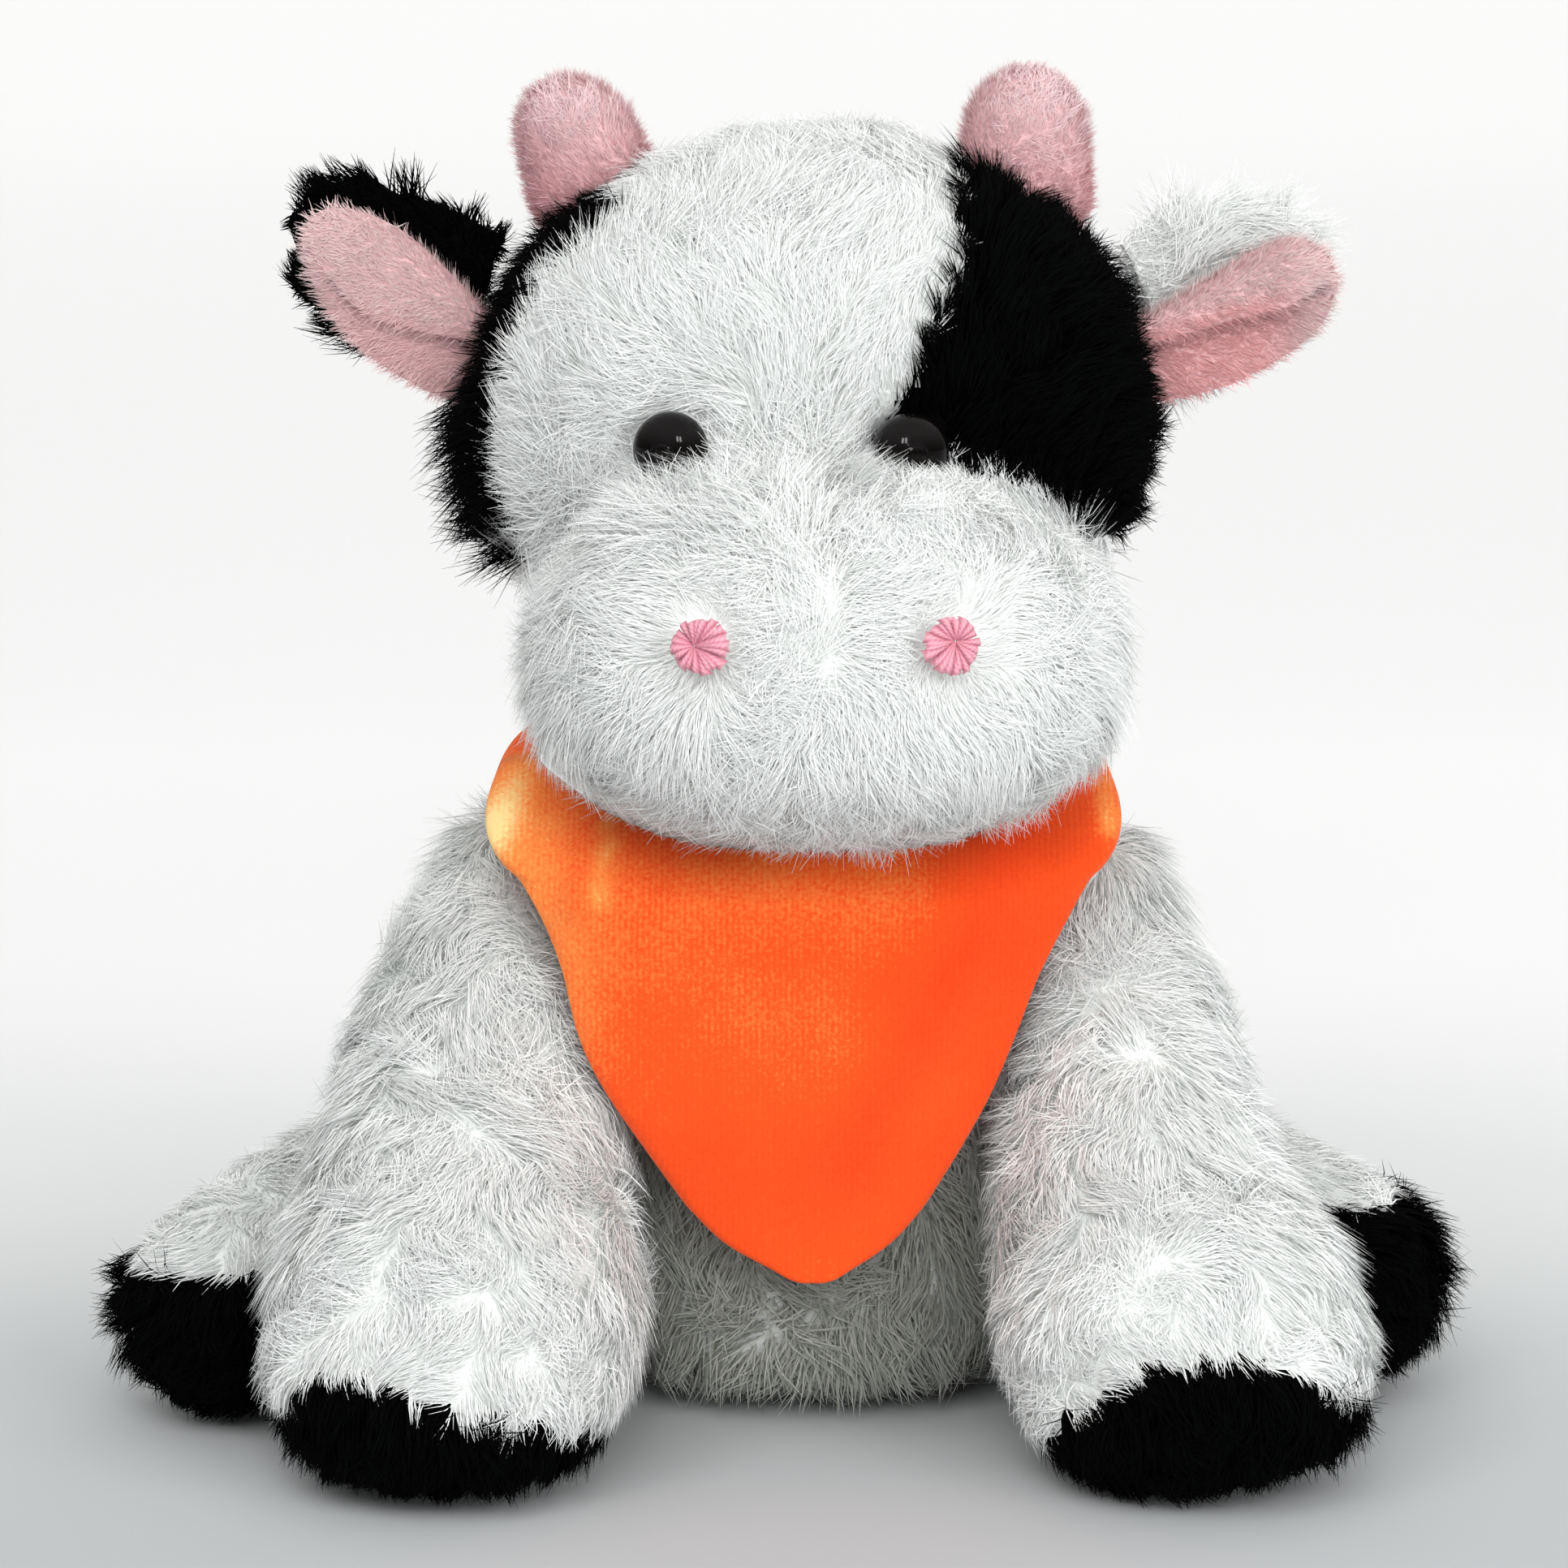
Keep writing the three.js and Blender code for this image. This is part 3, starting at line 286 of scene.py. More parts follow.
def make_light():
    """Soft light from above and the front; the room in front of the toy is dim, so its eyes stay dark."""
    world = bpy.data.worlds.new("studio")
    bpy.context.scene.world = world
    world.use_nodes = True
    graph = Graph(world.node_tree)
    background = world.node_tree.nodes["Background"]
    _, y, z = graph.split(graph.place("Generated"))
    high = graph.ramp(z, -0.1, 0.75, 0.1, 1.0)
    rear = graph.ramp(y, -0.2, 0.8, 0.0, 0.6)
    room = graph.math("MAXIMUM", high, rear) * WORLD_LEVEL
    seen = graph.out("Is Camera Ray", "ShaderNodeLightPath")
    graph.feed(background.inputs["Strength"], graph.mix(seen, room, BACKGROUND_LEVEL, "FLOAT"))
    background.inputs["Color"].default_value = (1.0, 0.995, 0.985, 1.0)
    make_lamp("key", (-260, -620, 660), (0.6, 0.6), KEY_POWER)
    make_lamp("fill", (420, -640, 300), (0.6, 0.5), FILL_POWER)
    for name, x in (("strip_left", -60), ("strip_right", 60)):
        make_lamp(name, (x, -900, 560), (0.06, 0.2), STRIP_POWER, (0, -60, 150))


# ---------------------------------------------------------------- mesh helpers


def linked(name, mesh):
    obj = bpy.data.objects.new(name, mesh)
    bpy.context.scene.collection.objects.link(obj)
    return obj


def points_of(mesh):
    flat = np.empty(len(mesh.vertices) * 3, np.float32)
    mesh.vertices.foreach_get("co", flat)
    return flat.reshape(-1, 3).astype(float)


def normals_of(mesh):
    flat = np.empty(len(mesh.vertices) * 3, np.float32)
    mesh.vertices.foreach_get("normal", flat)
    return flat.reshape(-1, 3).astype(float)


def set_points(mesh, points):
    mesh.vertices.foreach_set("co", points.astype(np.float32).ravel())
    mesh.update()


def toy_points(mesh):
    return (points_of(mesh) - ORIGIN) / MM


def set_toy_points(mesh, points):
    set_points(mesh, ORIGIN + points * MM)


def store(mesh, name, values, kind="FLOAT"):
    attribute = mesh.attributes.new(name, kind, "POINT")
    key = "vector" if kind == "FLOAT_VECTOR" else "value"
    attribute.data.foreach_set(key, np.asarray(values, np.float32).ravel())


def evaluated(obj, name):
    """The object's mesh with its modifiers applied, as a plain mesh; the object goes."""
    graph = bpy.context.evaluated_depsgraph_get()
    mesh = bpy.data.meshes.new_from_object(obj.evaluated_get(graph), preserve_all_data_layers=True, depsgraph=graph)
    mesh.name = name
    old = obj.data
    bpy.data.objects.remove(obj)
    bpy.data.meshes.remove(old)
    return mesh


def joined_nodes(names):
    vertices, faces, base = [], [], 0
    for name in names:
        mesh = NODES[name].data
        vertices.append(points_of(mesh))
        faces += [[base + v for v in polygon.vertices] for polygon in mesh.polygons]
        base += len(mesh.vertices)
    mesh = bpy.data.meshes.new("joined")
    mesh.from_pydata(np.concatenate(vertices).tolist(), [], faces)
    return mesh


def soft_skin(names, voxel, smooth, grow=0.0):
    """One smooth closed skin over some CAD solids, grown outwards in metres."""
    obj = linked("skin", joined_nodes(names))
    remesh = obj.modifiers.new("remesh", "REMESH")
    remesh.mode = "VOXEL"
    remesh.voxel_size = voxel
    soften = obj.modifiers.new("soften", "SMOOTH")
    soften.factor = 0.5
    soften.iterations = smooth
    mesh = evaluated(obj, "skin")
    mesh.update()
    set_points(mesh, points_of(mesh) + normals_of(mesh) * grow)
    return mesh


def sub_mesh(mesh, name, keep=None, normals=None):
    """The faces of a mesh for which keep is true, with their own vertices and those vertices' normals."""
    corners = [list(p.vertices) for i, p in enumerate(mesh.polygons) if keep is None or keep[i]]
    used = sorted({v for face in corners for v in face})
    index = {v: i for i, v in enumerate(used)}
    part = bpy.data.meshes.new(name)
    part.from_pydata(points_of(mesh)[used].tolist(), [], [[index[v] for v in face] for face in corners])
    part.shade_smooth()
    return part, (normals_of(mesh) if normals is None else normals)[used]


def face_centres(mesh):
    flat = np.empty(len(mesh.polygons) * 3, np.float32)
    mesh.polygons.foreach_get("center", flat)
    return flat.reshape(-1, 3).astype(float)


def nearest_node(points, names, reach=0.0):
    """For each point, which of some CAD nodes lies nearest; the last one reaches a little further."""
    distances = []
    for name in names:
        mesh = NODES[name].data
        tree = BVHTree.FromPolygons(points_of(mesh).tolist(), [list(p.vertices) for p in mesh.polygons])
        distances.append([tree.find_nearest(Vector(p))[3] for p in points])
    distances[-1] = [distance - reach for distance in distances[-1]]
    return np.argmin(np.array(distances), axis=0)


def unit(vectors):
    length = np.linalg.norm(vectors, axis=-1, keepdims=True)
    return vectors / np.maximum(length, 1e-9)


# ---------------------------------------------------------------- pile: strands grown by geometry nodes

PILE_INPUTS = {
    "Density": 2.2e6,
    "Length": 0.009,
    "Width": 0.0004,
    "Rise": 0.8,
    "Droop": 0.45,
    "Tuft Size": 0.0036,
    "Tuft Pull": 0.7,
    "Tuft Turn": 0.8,
    "Tuft Round": 0.25,
    "Swirl Size": 0.02,
    "Swirl": 3.0,
    "Stray": 0.35,
    "Curl": 0.25,
}
LOWEST_STRAND = 0.0002
PILE_SOCKETS = {"Geometry": "Geometry"} | {name: "Float" for name in PILE_INPUTS} | {
    "Seed": "Int", "Material": "Material"}


def pile_tree(segments):
    tree, g, given = node_group(f"pile_{segments}", "GeometryNodeTree", PILE_SOCKETS, "Geometry")
    spread = g.add("GeometryNodeDistributePointsOnFaces", {
        "Mesh": given["Geometry"], "Density": given["Density"] * g.named("cover"), "Seed": given["Seed"],
    }, distribute_method="RANDOM")
    root = g.out("Position", "GeometryNodeInputPosition")
    up = Value(g, spread.outputs["Normal"])

    def flat(vector):
        return vector - up * g.vector("DOT_PRODUCT", vector, up)

    # Strands near one another lean into one tuft and share its direction
    cells = g.add("ShaderNodeTexVoronoi", {"Vector": root, "Scale": 1.0 / given["Tuft Size"]})
    own, centre = Value(g, cells.outputs["Color"]), Value(g, cells.outputs["Position"])
    middle = (0.5, 0.5, 0.5)
    turn = (g.noise(root, 1.0 / given["Swirl Size"], 1.0, "Color") - middle) * given["Swirl"]
    stray = g.random((-1, -1, -1), (1, 1, 1), given["Seed"] + 1, "FLOAT_VECTOR") * given["Stray"]
    course = g.named("comb", "FLOAT_VECTOR") + turn + (own - middle) * given["Tuft Turn"] + stray
    first, second, third = g.split(own)
    size = given["Length"] * g.named("pile") * g.random(0.72, 1.12, given["Seed"] + 2) * (first * 0.3 + 0.82)
    points = spread.outputs["Points"]
    for name, value, kind in (
        ("root", root, "FLOAT_VECTOR"), ("up", up, "FLOAT_VECTOR"),
        ("lay", g.vector("NORMALIZE", flat(course)), "FLOAT_VECTOR"),
        ("toward", flat(centre - root), "FLOAT_VECTOR"), ("size", size, "FLOAT"),
        ("curl", (second - 0.5) * (given["Curl"] * 2.0), "FLOAT"),
        ("tone", third * 0.6 + g.random(0, 1, given["Seed"] + 3) * 0.4, "FLOAT"),
        ("twist", g.random(-0.7, 0.7, given["Seed"] + 4), "FLOAT"),
        ("stance", g.named("stand") * g.random(0.7, 1.4, given["Seed"] + 5), "FLOAT"),
        ("blush", g.named("blush"), "FLOAT"),
    ):
        points = g.stored(points, name, value, kind)

    blade = g.add("GeometryNodeMeshGrid", {"Size X": 1.0, "Size Y": 1.0, "Vertices X": 2, "Vertices Y": segments + 1})
    x, y, _ = g.split(g.out("Position", "GeometryNodeInputPosition"))
    strand = g.stored(g.stored(blade.outputs["Mesh"], "across", x), "along", y + 0.5)
    grown = g.step("GeometryNodeInstanceOnPoints", points, {"Instance": strand}, "Points", "Instances")
    real = g.step("GeometryNodeRealizeInstances", grown)

    v, u, length, twist = (g.named(name) for name in ("along", "across", "size", "twist"))
    root, up, lay, toward = (g.named(name, "FLOAT_VECTOR") for name in ("root", "up", "lay", "toward"))
    side = g.vector("NORMALIZE", g.vector("CROSS_PRODUCT", lay, up))
    squared = v * v
    rise = given["Rise"] * g.named("stance") * v - given["Droop"] * squared
    run = squared * 0.4 + v * 0.5
    edge = side * g.math("COSINE", twist) + up * g.math("SINE", twist)
    half = u * (1.0 - squared * 0.85) * given["Width"]
    bend = g.named("curl") * length * squared
    pull = given["Tuft Pull"] * v ** 1.4
    x, y, z = g.split(root + lay * (run * length) + up * (rise * length) + edge * half + side * bend + toward * pull)
    above = g.join(x, y, g.math("MAXIMUM", z, LOWEST_STRAND))
    bent = g.step("GeometryNodeSetPosition", real, {"Position": above})
    # Rounded across the strand and across its tuft, so that flat strands shade like soft locks of pile
    out = toward * (given["Tuft Round"] * -1.0 / given["Tuft Size"])
    normal = g.vector("NORMALIZE", up + edge * (u * 0.25) + lay * 0.3 + out)
    shaded = g.step("GeometryNodeSetMeshNormal", bent, {"Custom Normal": normal}, "Mesh", "Mesh",
                    mode="FREE", domain="POINT")
    coloured = g.step("GeometryNodeSetMaterial", shaded, {"Material": given["Material"]})
    both = g.add("GeometryNodeJoinGeometry")
    for geometry in (coloured, given["Geometry"]):
        g.feed(both.inputs["Geometry"], geometry)
    g.add("NodeGroupOutput", {"Geometry": both.outputs["Geometry"]})
    return tree


PILE_TREES = {}


def made_by(tree, obj, name, settings):
    """The mesh that a tree of geometry nodes makes from an object with these inputs; the object goes."""
    maker = obj.modifiers.new("made", "NODES")
    maker.node_group = tree
    for item in tree.interface.items_tree:
        if item.in_out == "INPUT" and item.name in settings:
            maker[item.identifier] = settings[item.name]
    return evaluated(obj, name)


def grow_pile(name, mesh, backing, pile, segments, seed, **values):
    """A piece of pile fabric: the backing mesh with its strands, by the mesh's own attributes."""
    if segments not in PILE_TREES:
        PILE_TREES[segments] = pile_tree(segments)
    mesh.materials.clear()
    mesh.materials.append(backing)
    settings = PILE_INPUTS | values | {"Seed": seed, "Material": pile}
    grown = made_by(PILE_TREES[segments], linked("growing", mesh), name, settings)
    for extra in "root up lay toward size curl twist across comb cover pile stand stance".split():
        if extra in grown.attributes:
            grown.attributes.remove(grown.attributes[extra])
    return linked(name, grown)


# ---------------------------------------------------------------- materials


def strand_tint():
    """Colour of a strand from its root to its tip, with each tuft a little lighter or darker."""
    kinds = {"Root": "Color", "Tip": "Color", "Deep": "Color", "Fade": "Float", "Variation": "Float"}
    tree, g, given = node_group("strand_tint", "ShaderNodeTree", kinds, "Color")
    reach = g.math("MINIMUM", g.seen("along") / given["Fade"], 1.0)
    # Mixed towards the deep colour where the mesh asks: painted shade low on the belly, a deeper pink on the horns and
    # ear linings
    base = g.mix(g.seen("blush"), g.mix(reach, given["Root"], given["Tip"]), given["Deep"])
    dim = 1.0 - (1.0 - g.seen("tone")) * given["Variation"]
    shade = g.out("Color", "ShaderNodeCombineColor", {"Red": dim, "Green": dim, "Blue": dim})
    g.add("NodeGroupOutput", {"Color": g.mix(1.0, base, shade, blend="MULTIPLY")})
    return tree


def pile_material(name, root, tip, deep, fade, variation, roughness, sheen, sheen_tint, specular=0.12):
    material, graph, shader = new_material(name, {
        "Roughness": roughness, "Specular IOR Level": specular,
        "Sheen Weight": sheen, "Sheen Roughness": 0.5, "Sheen Tint": sheen_tint})
    values = {"Root": root, "Tip": tip, "Deep": deep, "Fade": fade, "Variation": variation}
    graph.feed(shader.inputs["Base Color"], graph.out("Color", "ShaderNodeGroup", values, node_tree=TINT))
    return material


def backing_material(name, base, deep):
    """The knitted ground that shows between the strands."""
    material, graph, shader = new_material(name, {"Roughness": 0.95, "Specular IOR Level": 0.1})
    cloud = graph.noise(graph.place(), 260.0, 3.0)
    graph.feed(shader.inputs["Base Color"], graph.mix(cloud, deep, base))
    graph.bump(shader, cloud, 0.5, 0.0006)
    return material


TINT = strand_tint()
# The white backing and the white pile's roots are painted lighter than the strands' tips: painted light that lifts the
# shade between the strands
WHITE_BACKING = backing_material("white_backing", colour(240, 242, 240), colour(232, 235, 233))
BLACK_BACKING = backing_material("black_backing", colour(5, 6, 6), colour(2, 2, 2))
PINK_BACKING = backing_material("pink_backing", colour(232, 196, 198), colour(220, 176, 180))
# The white pile's deep grey is painted shade, mixed in low on the belly
WHITE_PILE = pile_material(
    "white_pile", colour(245, 247, 245), colour(234, 236, 235), colour(146, 148, 138),
    0.85, 0.02, 0.85, 0.1, (1, 1, 1, 1))
BLACK_PILE = pile_material(
    "black_pile", colour(2, 2, 2), colour(7, 8, 8), colour(20, 26, 25), 0.9, 0.4, 0.8, 0.0, (0.6, 0.7, 0.8, 1), 0.04)
PINK_PILE = pile_material(
    "pink_pile", colour(228, 194, 195), colour(243, 222, 220), colour(246, 182, 184),
    0.9, 0.16, 0.85, 0.2, (1, 0.95, 0.96, 1))
HORN_PILE = pile_material(
    "horn_pile", colour(236, 200, 203), colour(252, 232, 232), colour(240, 182, 188),
    0.9, 0.16, 0.85, 0.25, (1, 0.95, 0.96, 1))
PILES = {
    "white": (WHITE_BACKING, WHITE_PILE, "white_pile"),
    "black": (BLACK_BACKING, BLACK_PILE, "black_pile"),
    "pink": (PINK_BACKING, PINK_PILE, "pink_pile"),
    "horn": (PINK_BACKING, HORN_PILE, "pink_pile"),
}


# ---------------------------------------------------------------- pile pieces


def finish_pieces(pieces, body, nodes):
    """Declares pieces that ride on one body, and hides the CAD nodes they stand for."""
    for i, piece in enumerate(pieces):
        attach(piece, body)
        if i == 0:
            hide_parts(*nodes)


MOST_TRIANGLES = 150000
# How tightly each padded piece is stuffed
HEAD_FILL = 0.85
TORSO_FILL = 0.7
LEG_FILL = 0.6
TAIL_FILL = 0.4
HORN_FILL = 0.8
EAR_FILL = 0.15


def pile_pieces(name, mesh, normals, colours, comb, **values):
    """Grows pile on a skin, cut into as many pieces side by side as its strands need."""
    strands = sum(polygon.area for polygon in mesh.polygons) * values["Density"]
    count = max(1, math.ceil(strands * 2 * values["segments"] / MOST_TRIANGLES))
    if count == 1:
        return [pile_piece(name, mesh, normals, colours, comb, **values)]
    across = face_centres(mesh)[:, 0]
    order = np.argsort(np.argsort(across, kind="stable"), kind="stable")
    lot = order * count // len(across)
    pieces = []
    for i in range(count):
        part, own = sub_mesh(mesh, name, lot == i, normals)
        pieces.append(pile_piece(f"{name}_{i + 1}", part, own, colours, comb, **values))
    bpy.data.meshes.remove(mesh)
    return pieces


def pile_piece(name, mesh, normals, colours, comb, cover=None, pile=None, stand=None, blush=None, **values):
    """Grows pile on a skin piece. comb gives a direction for each point, in the toy's millimetres."""
    points = toy_points(mesh)
    even = np.ones(len(points))
    store(mesh, "comb", comb(points), "FLOAT_VECTOR")
    store(mesh, "cover", cover(points, normals) if cover else even)
    store(mesh, "pile", pile(points) if pile else even)
    store(mesh, "stand", stand(points) if stand else even)
    store(mesh, "blush", blush(points) if blush else even * 0)
    return grow_pile(name, mesh, *PILES[colours][:2], **values)


def sew(name, skin, body, nodes, fill, colours, comb, keep=None, **values):
    part, normals = sub_mesh(skin, name, keep)
    pieces = pile_pieces(name, part, normals, colours, comb, **values)
    finish_pieces(pieces, body, nodes)


WHITE = {"Density": 4.1e6, "Length": 0.0084, "Width": 0.00022, "segments": 2, "Rise": 0.66, "Droop": 0.36,
         "Tuft Size": 0.006, "Tuft Pull": 0.28, "Tuft Turn": 1.5, "Swirl": 6.5, "Swirl Size": 0.018, "Curl": 0.6,
         "Stray": 0.55}
FACE = WHITE | {"Tuft Pull": 0.14, "Tuft Turn": 1.0, "Swirl": 4.2, "Swirl Size": 0.02, "Curl": 0.5, "Length": 0.0074,
                "Density": 5.6e6, "Width": 0.0002}
MUZZLE = FACE | {"Density": 6.2e6, "Width": 0.00018, "Swirl": 3.2, "Rise": 0.54, "Droop": 0.32, "Tuft Pull": 0.12,
                 "Length": 0.0078}
REAR = WHITE | {"Density": 1.7e6, "Width": 0.00034}
HIND = WHITE | {"Density": 3.2e6, "Width": 0.00025}
BLACK = {"Density": 3.6e6, "Length": 0.0068, "Width": 0.00028, "segments": 2, "Tuft Size": 0.004, "Tuft Pull": 0.45,
         "Tuft Turn": 1.2, "Swirl": 2.2, "Rise": 0.8, "Droop": 0.3, "Curl": 0.3}
PINK = {"Density": 8e6, "Length": 0.002, "Width": 0.0002, "segments": 1, "Tuft Size": 0.0016, "Tuft Pull": 0.25,
        "Swirl": 1.6, "Swirl Size": 0.012, "Curl": 0.1, "Stray": 0.5, "Rise": 0.9, "Droop": 0.2}
NOSTRIL_SPREAD = 18.6
EYE_SPREAD = 18.5
EYE_SHIFT = -3.5
EYE_HEIGHT = 160
NOSE = np.array([1.8, 136])


def smooth_step(values, low, high):
    t = np.clip((values - low) / (high - low), 0, 1)
    return t * t * (3 - 2 * t)


def from_nose(points):
    """How far points lie to the side of the nose and above it."""
    return points[:, 0] - NOSE[0], points[:, 2] - NOSE[1]


def from_neck(points):
    return np.linalg.norm(points - np.array([0, 0, NECK_HEIGHT]), axis=1)


def muzzle_comb(points):
    """Down and outwards under the nostrils, sideways between them and up above them."""
    x, z = from_nose(points)
    below, above = 1 - smooth_step(z, -9, -1), smooth_step(z, 3, 13)
    course = np.column_stack([
        0.03 * x * below + 0.9 * np.sign(x) * (1 - below) * (1 - above) + 0.03 * np.minimum(x, 0) * above,
        np.zeros(len(x)),
        -1.0 * below + 1.0 * above,
    ])
    for side in (-1, 1):
        away = np.column_stack([x - side * NOSTRIL_SPREAD, np.zeros(len(x)), z])
        reach = np.linalg.norm(away, axis=1, keepdims=True)
        course += 2.2 * np.exp(-((reach / 9) ** 2)) * away / np.maximum(reach, 0.5)
    return course


def muzzle_stand(points):
    """Upright on top in front of the eyes, at the sides and where it hangs over the cloth."""
    x, z = from_nose(points)
    top = smooth_step(z, 7, 15) * (1 - 0.75 * smooth_step(x, -4, 6))
    return 1 + 0.5 * top + 0.4 * smooth_step(np.abs(x), 30, 44) * (1 - 0.8 * smooth_step(z, 4, 12))


def muzzle_length(points):
    """Short round the nostrils, long on top where the pile stands up in front of the eyes."""
    x, z = from_nose(points)
    size = 1 + 0.45 * smooth_step(z, 8, 16) * (1 - smooth_step(x, -8, 4)) + 0.1 * smooth_step(-z, 20, 32)
    size -= 0.3 * smooth_step(z, 6, 14) * smooth_step(x, 4, 16)
    for side in (-1, 1):
        reach = np.hypot(x - side * NOSTRIL_SPREAD, z)
        size *= 0.5 + 0.5 * smooth_step(reach, 4.5, 13)
    return size


def face_cover(points, normals):
    """No strands grow behind the eyes or inside the neck's hollow."""
    open_ = (from_neck(points) > 48) | (points[:, 1] < -34)
    for side in (-1, 1):
        reach = np.hypot(points[:, 0] - side * EYE_SPREAD - EYE_SHIFT, points[:, 2] - EYE_HEIGHT)
        open_ &= (reach > 5) | (points[:, 1] > 0)
    return open_


def face_length(points):
    """Longer low on the cheeks, where the pile hangs past the muzzle and the neck."""
    low = smooth_step(-points[:, 2], -150, -132) * smooth_step(np.abs(points[:, 0]), 26, 40)
    by_patch = smooth_step(points[:, 0], 0, 12) * smooth_step(-points[:, 1], 10, 30)
    return 1 + 0.7 * low - 0.3 * by_patch


def patch_tufts(points):
    """Long upright tufts where the side patch shows past the cheek."""
    return 1 + 0.35 * smooth_step(-points[:, 2], -172, -158) * (points[:, 0] < 0)


def muzzle_cover(points, normals):
    """No strands grow under the nostrils' stitches."""
    x, z = from_nose(points)
    open_ = np.ones(len(x))
    for side in (-1, 1):
        open_ *= (np.hypot(x - side * NOSTRIL_SPREAD, z) > 3.6) | (normals[:, 1] > -0.2)
    return open_


def away_from(x, y, z, down):
    """Comb directions that fan out from a point, with a pull towards the floor."""
    def comb(points):
        return unit(points - np.array([x, y, z])) + np.array([0, 0, -down])
    return comb


def border_field(others):
    """For points, the way to the nearest of some other places and how near it is, from 0 to 1."""
    tree = KDTree(len(others))
    for i, other in enumerate(others):
        tree.insert(other, i)
    tree.balance()

    def field(points, reach):
        ways = np.array([np.array(tree.find(point)[0]) - point for point in points])
        distance = np.linalg.norm(ways, axis=1, keepdims=True)
        return ways / np.maximum(distance, 0.5), 1 - smooth_step(distance, 2, reach)
    return field


def rounded(region, place, where, reach=11):
    """Rounds the corners of coloured regions: each face takes the commonest colour round it."""
    tree = KDTree(len(place))
    for i, point in enumerate(place):
        tree.insert(point, i)
    tree.balance()
    result = region.copy()
    for i in np.flatnonzero(where):
        near = region[[index for _, index, _ in tree.find_range(place[i], reach)]]
        result[i] = np.bincount(near).argmax()
    return result


HEAD_PANELS = ("muzzle_cover", "face_panel", "eye_patch_panel", "side_patch_panel", "back_panel")


def make_head():
    skin = soft_skin(["head_stuffing"], 0.0022, 14, 0.0004)
    # The muzzle's top is fuller under the eyes, its chin a little higher
    points = toy_points(skin)
    x, z = from_nose(points)
    front = smooth_step(-points[:, 1], 44, 56)
    fuller = smooth_step(x, -1, 8) * (1 - 0.5 * smooth_step(x, 20, 30)) * (1 - smooth_step(x, 34, 46))
    fuller *= smooth_step(z, 2, 12) * front
    right = smooth_step(-x, 6, 12) * (1 - smooth_step(-x, 27, 38)) * smooth_step(z, 4, 12) * front
    points[:, 2] += 4.4 * fuller + 1.0 * right + 1.4 * smooth_step(-z, 16, 28) * front
    set_toy_points(skin, points)
    centres = face_centres(skin)
    region = nearest_node(centres, HEAD_PANELS)
    place = (centres - ORIGIN) / MM
    muzzle, face, patch, side = range(4)
    region[(region == side) & (place[:, 0] > -29) & (place[:, 2] > 180)] = face
    region = rounded(region, place, (place[:, 1] > -8) & (place[:, 2] > 100))
    to_muzzle, to_face, to_patch, to_side = (border_field(place[region == i]) for i in (muzzle, face, patch, side))

    def face_comb(points, base=away_from(0, -60, 150, -0.2)):
        """Along the border of the eye patch and over the border of the side patch."""
        patch_way, patch_near = to_patch(points, 12)
        side_way, side_near = to_side(points, 12)
        return base(points) - 1.3 * patch_way * patch_near + [0, 0, 1.0] * patch_near + 0.6 * side_way * side_near

    def patch_comb(points, base=away_from(20, -60, 150, 0.0)):
        """Upwards and a little over the white at the border."""
        face_way, face_near = to_face(points, 10)
        muzzle_way, muzzle_near = to_muzzle(points, 14)
        course = base(points) * (1 - face_near) + (0.5 * face_way + [0, 0, 0.9]) * face_near
        return course * (1 - muzzle_near) + ([0.3, 0, 1.0] - 0.8 * muzzle_way) * muzzle_near

    def side_comb(points, base=away_from(0, -60, 160, 0.5)):
        face_way, face_near = to_face(points, 10)
        return base(points) - 1.2 * face_way * face_near

    def border_length(points):
        return face_length(points) * (1 - 0.25 * to_patch(points, 8)[1][:, 0])

    def by_muzzle(points):
        return 1 - 0.45 * to_muzzle(points, 9)[1][:, 0]

    plans = (
        ("muzzle_pile", "white", muzzle_comb, MUZZLE, muzzle_cover, muzzle_length, muzzle_stand),
        ("face_pile", "white", face_comb, FACE, face_cover, border_length, None),
        ("eye_patch_pile", "black", patch_comb, BLACK, face_cover, by_muzzle, patch_tufts),
        ("side_patch_pile", "black", side_comb, BLACK, face_cover, patch_tufts, patch_tufts),
        ("back_head_pile", "white", away_from(0, 40, 200, 0.8), REAR, face_cover, border_length, None),
    )
    for i, (name, colours, comb, values, cover, pile, stand) in enumerate(plans):
        nodes = [HEAD_PANELS[i], "head_stuffing"] if i == muzzle else [HEAD_PANELS[i]]
        sew(name, skin, "head", nodes, HEAD_FILL, colours, comb, region == i,
            cover=cover, pile=pile, stand=stand, seed=10 + i, **values)
    bpy.data.meshes.remove(skin)


def belly_shade(points):
    """Painted shade: the pile is greyer low on the belly, between the legs."""
    return 0.85 * smooth_step(-points[:, 2], -70, -35)


def make_torso():
    skin = soft_skin(["torso_stuffing", "pellet_bag"], 0.0026, 10, 0.0004)
    centres = (face_centres(skin) - ORIGIN) / MM

    def cover(points, normals):
        return (points[:, 2] > FLOOR + 2) & (from_neck(points) > 22) & (points[:, 2] < 120)

    def short_at_neck(points):
        return 0.25 + 0.75 * smooth_step(from_neck(points), 44, 62)

    back = centres[:, 1] > 8
    for name, keep, nodes, blush in (
        ("belly_pile", ~back, ["torso_cover", "torso_stuffing"], belly_shade),
        ("rump_pile", back, ["pellet_bag"], None),
    ):
        sew(name, skin, "torso", nodes, TORSO_FILL, "white", away_from(0, 0, 130, 0.6), keep,
            cover=cover, pile=short_at_neck, blush=blush, seed=21, **REAR)
    bpy.data.meshes.remove(skin)


HOOF_REACH = 0.0035
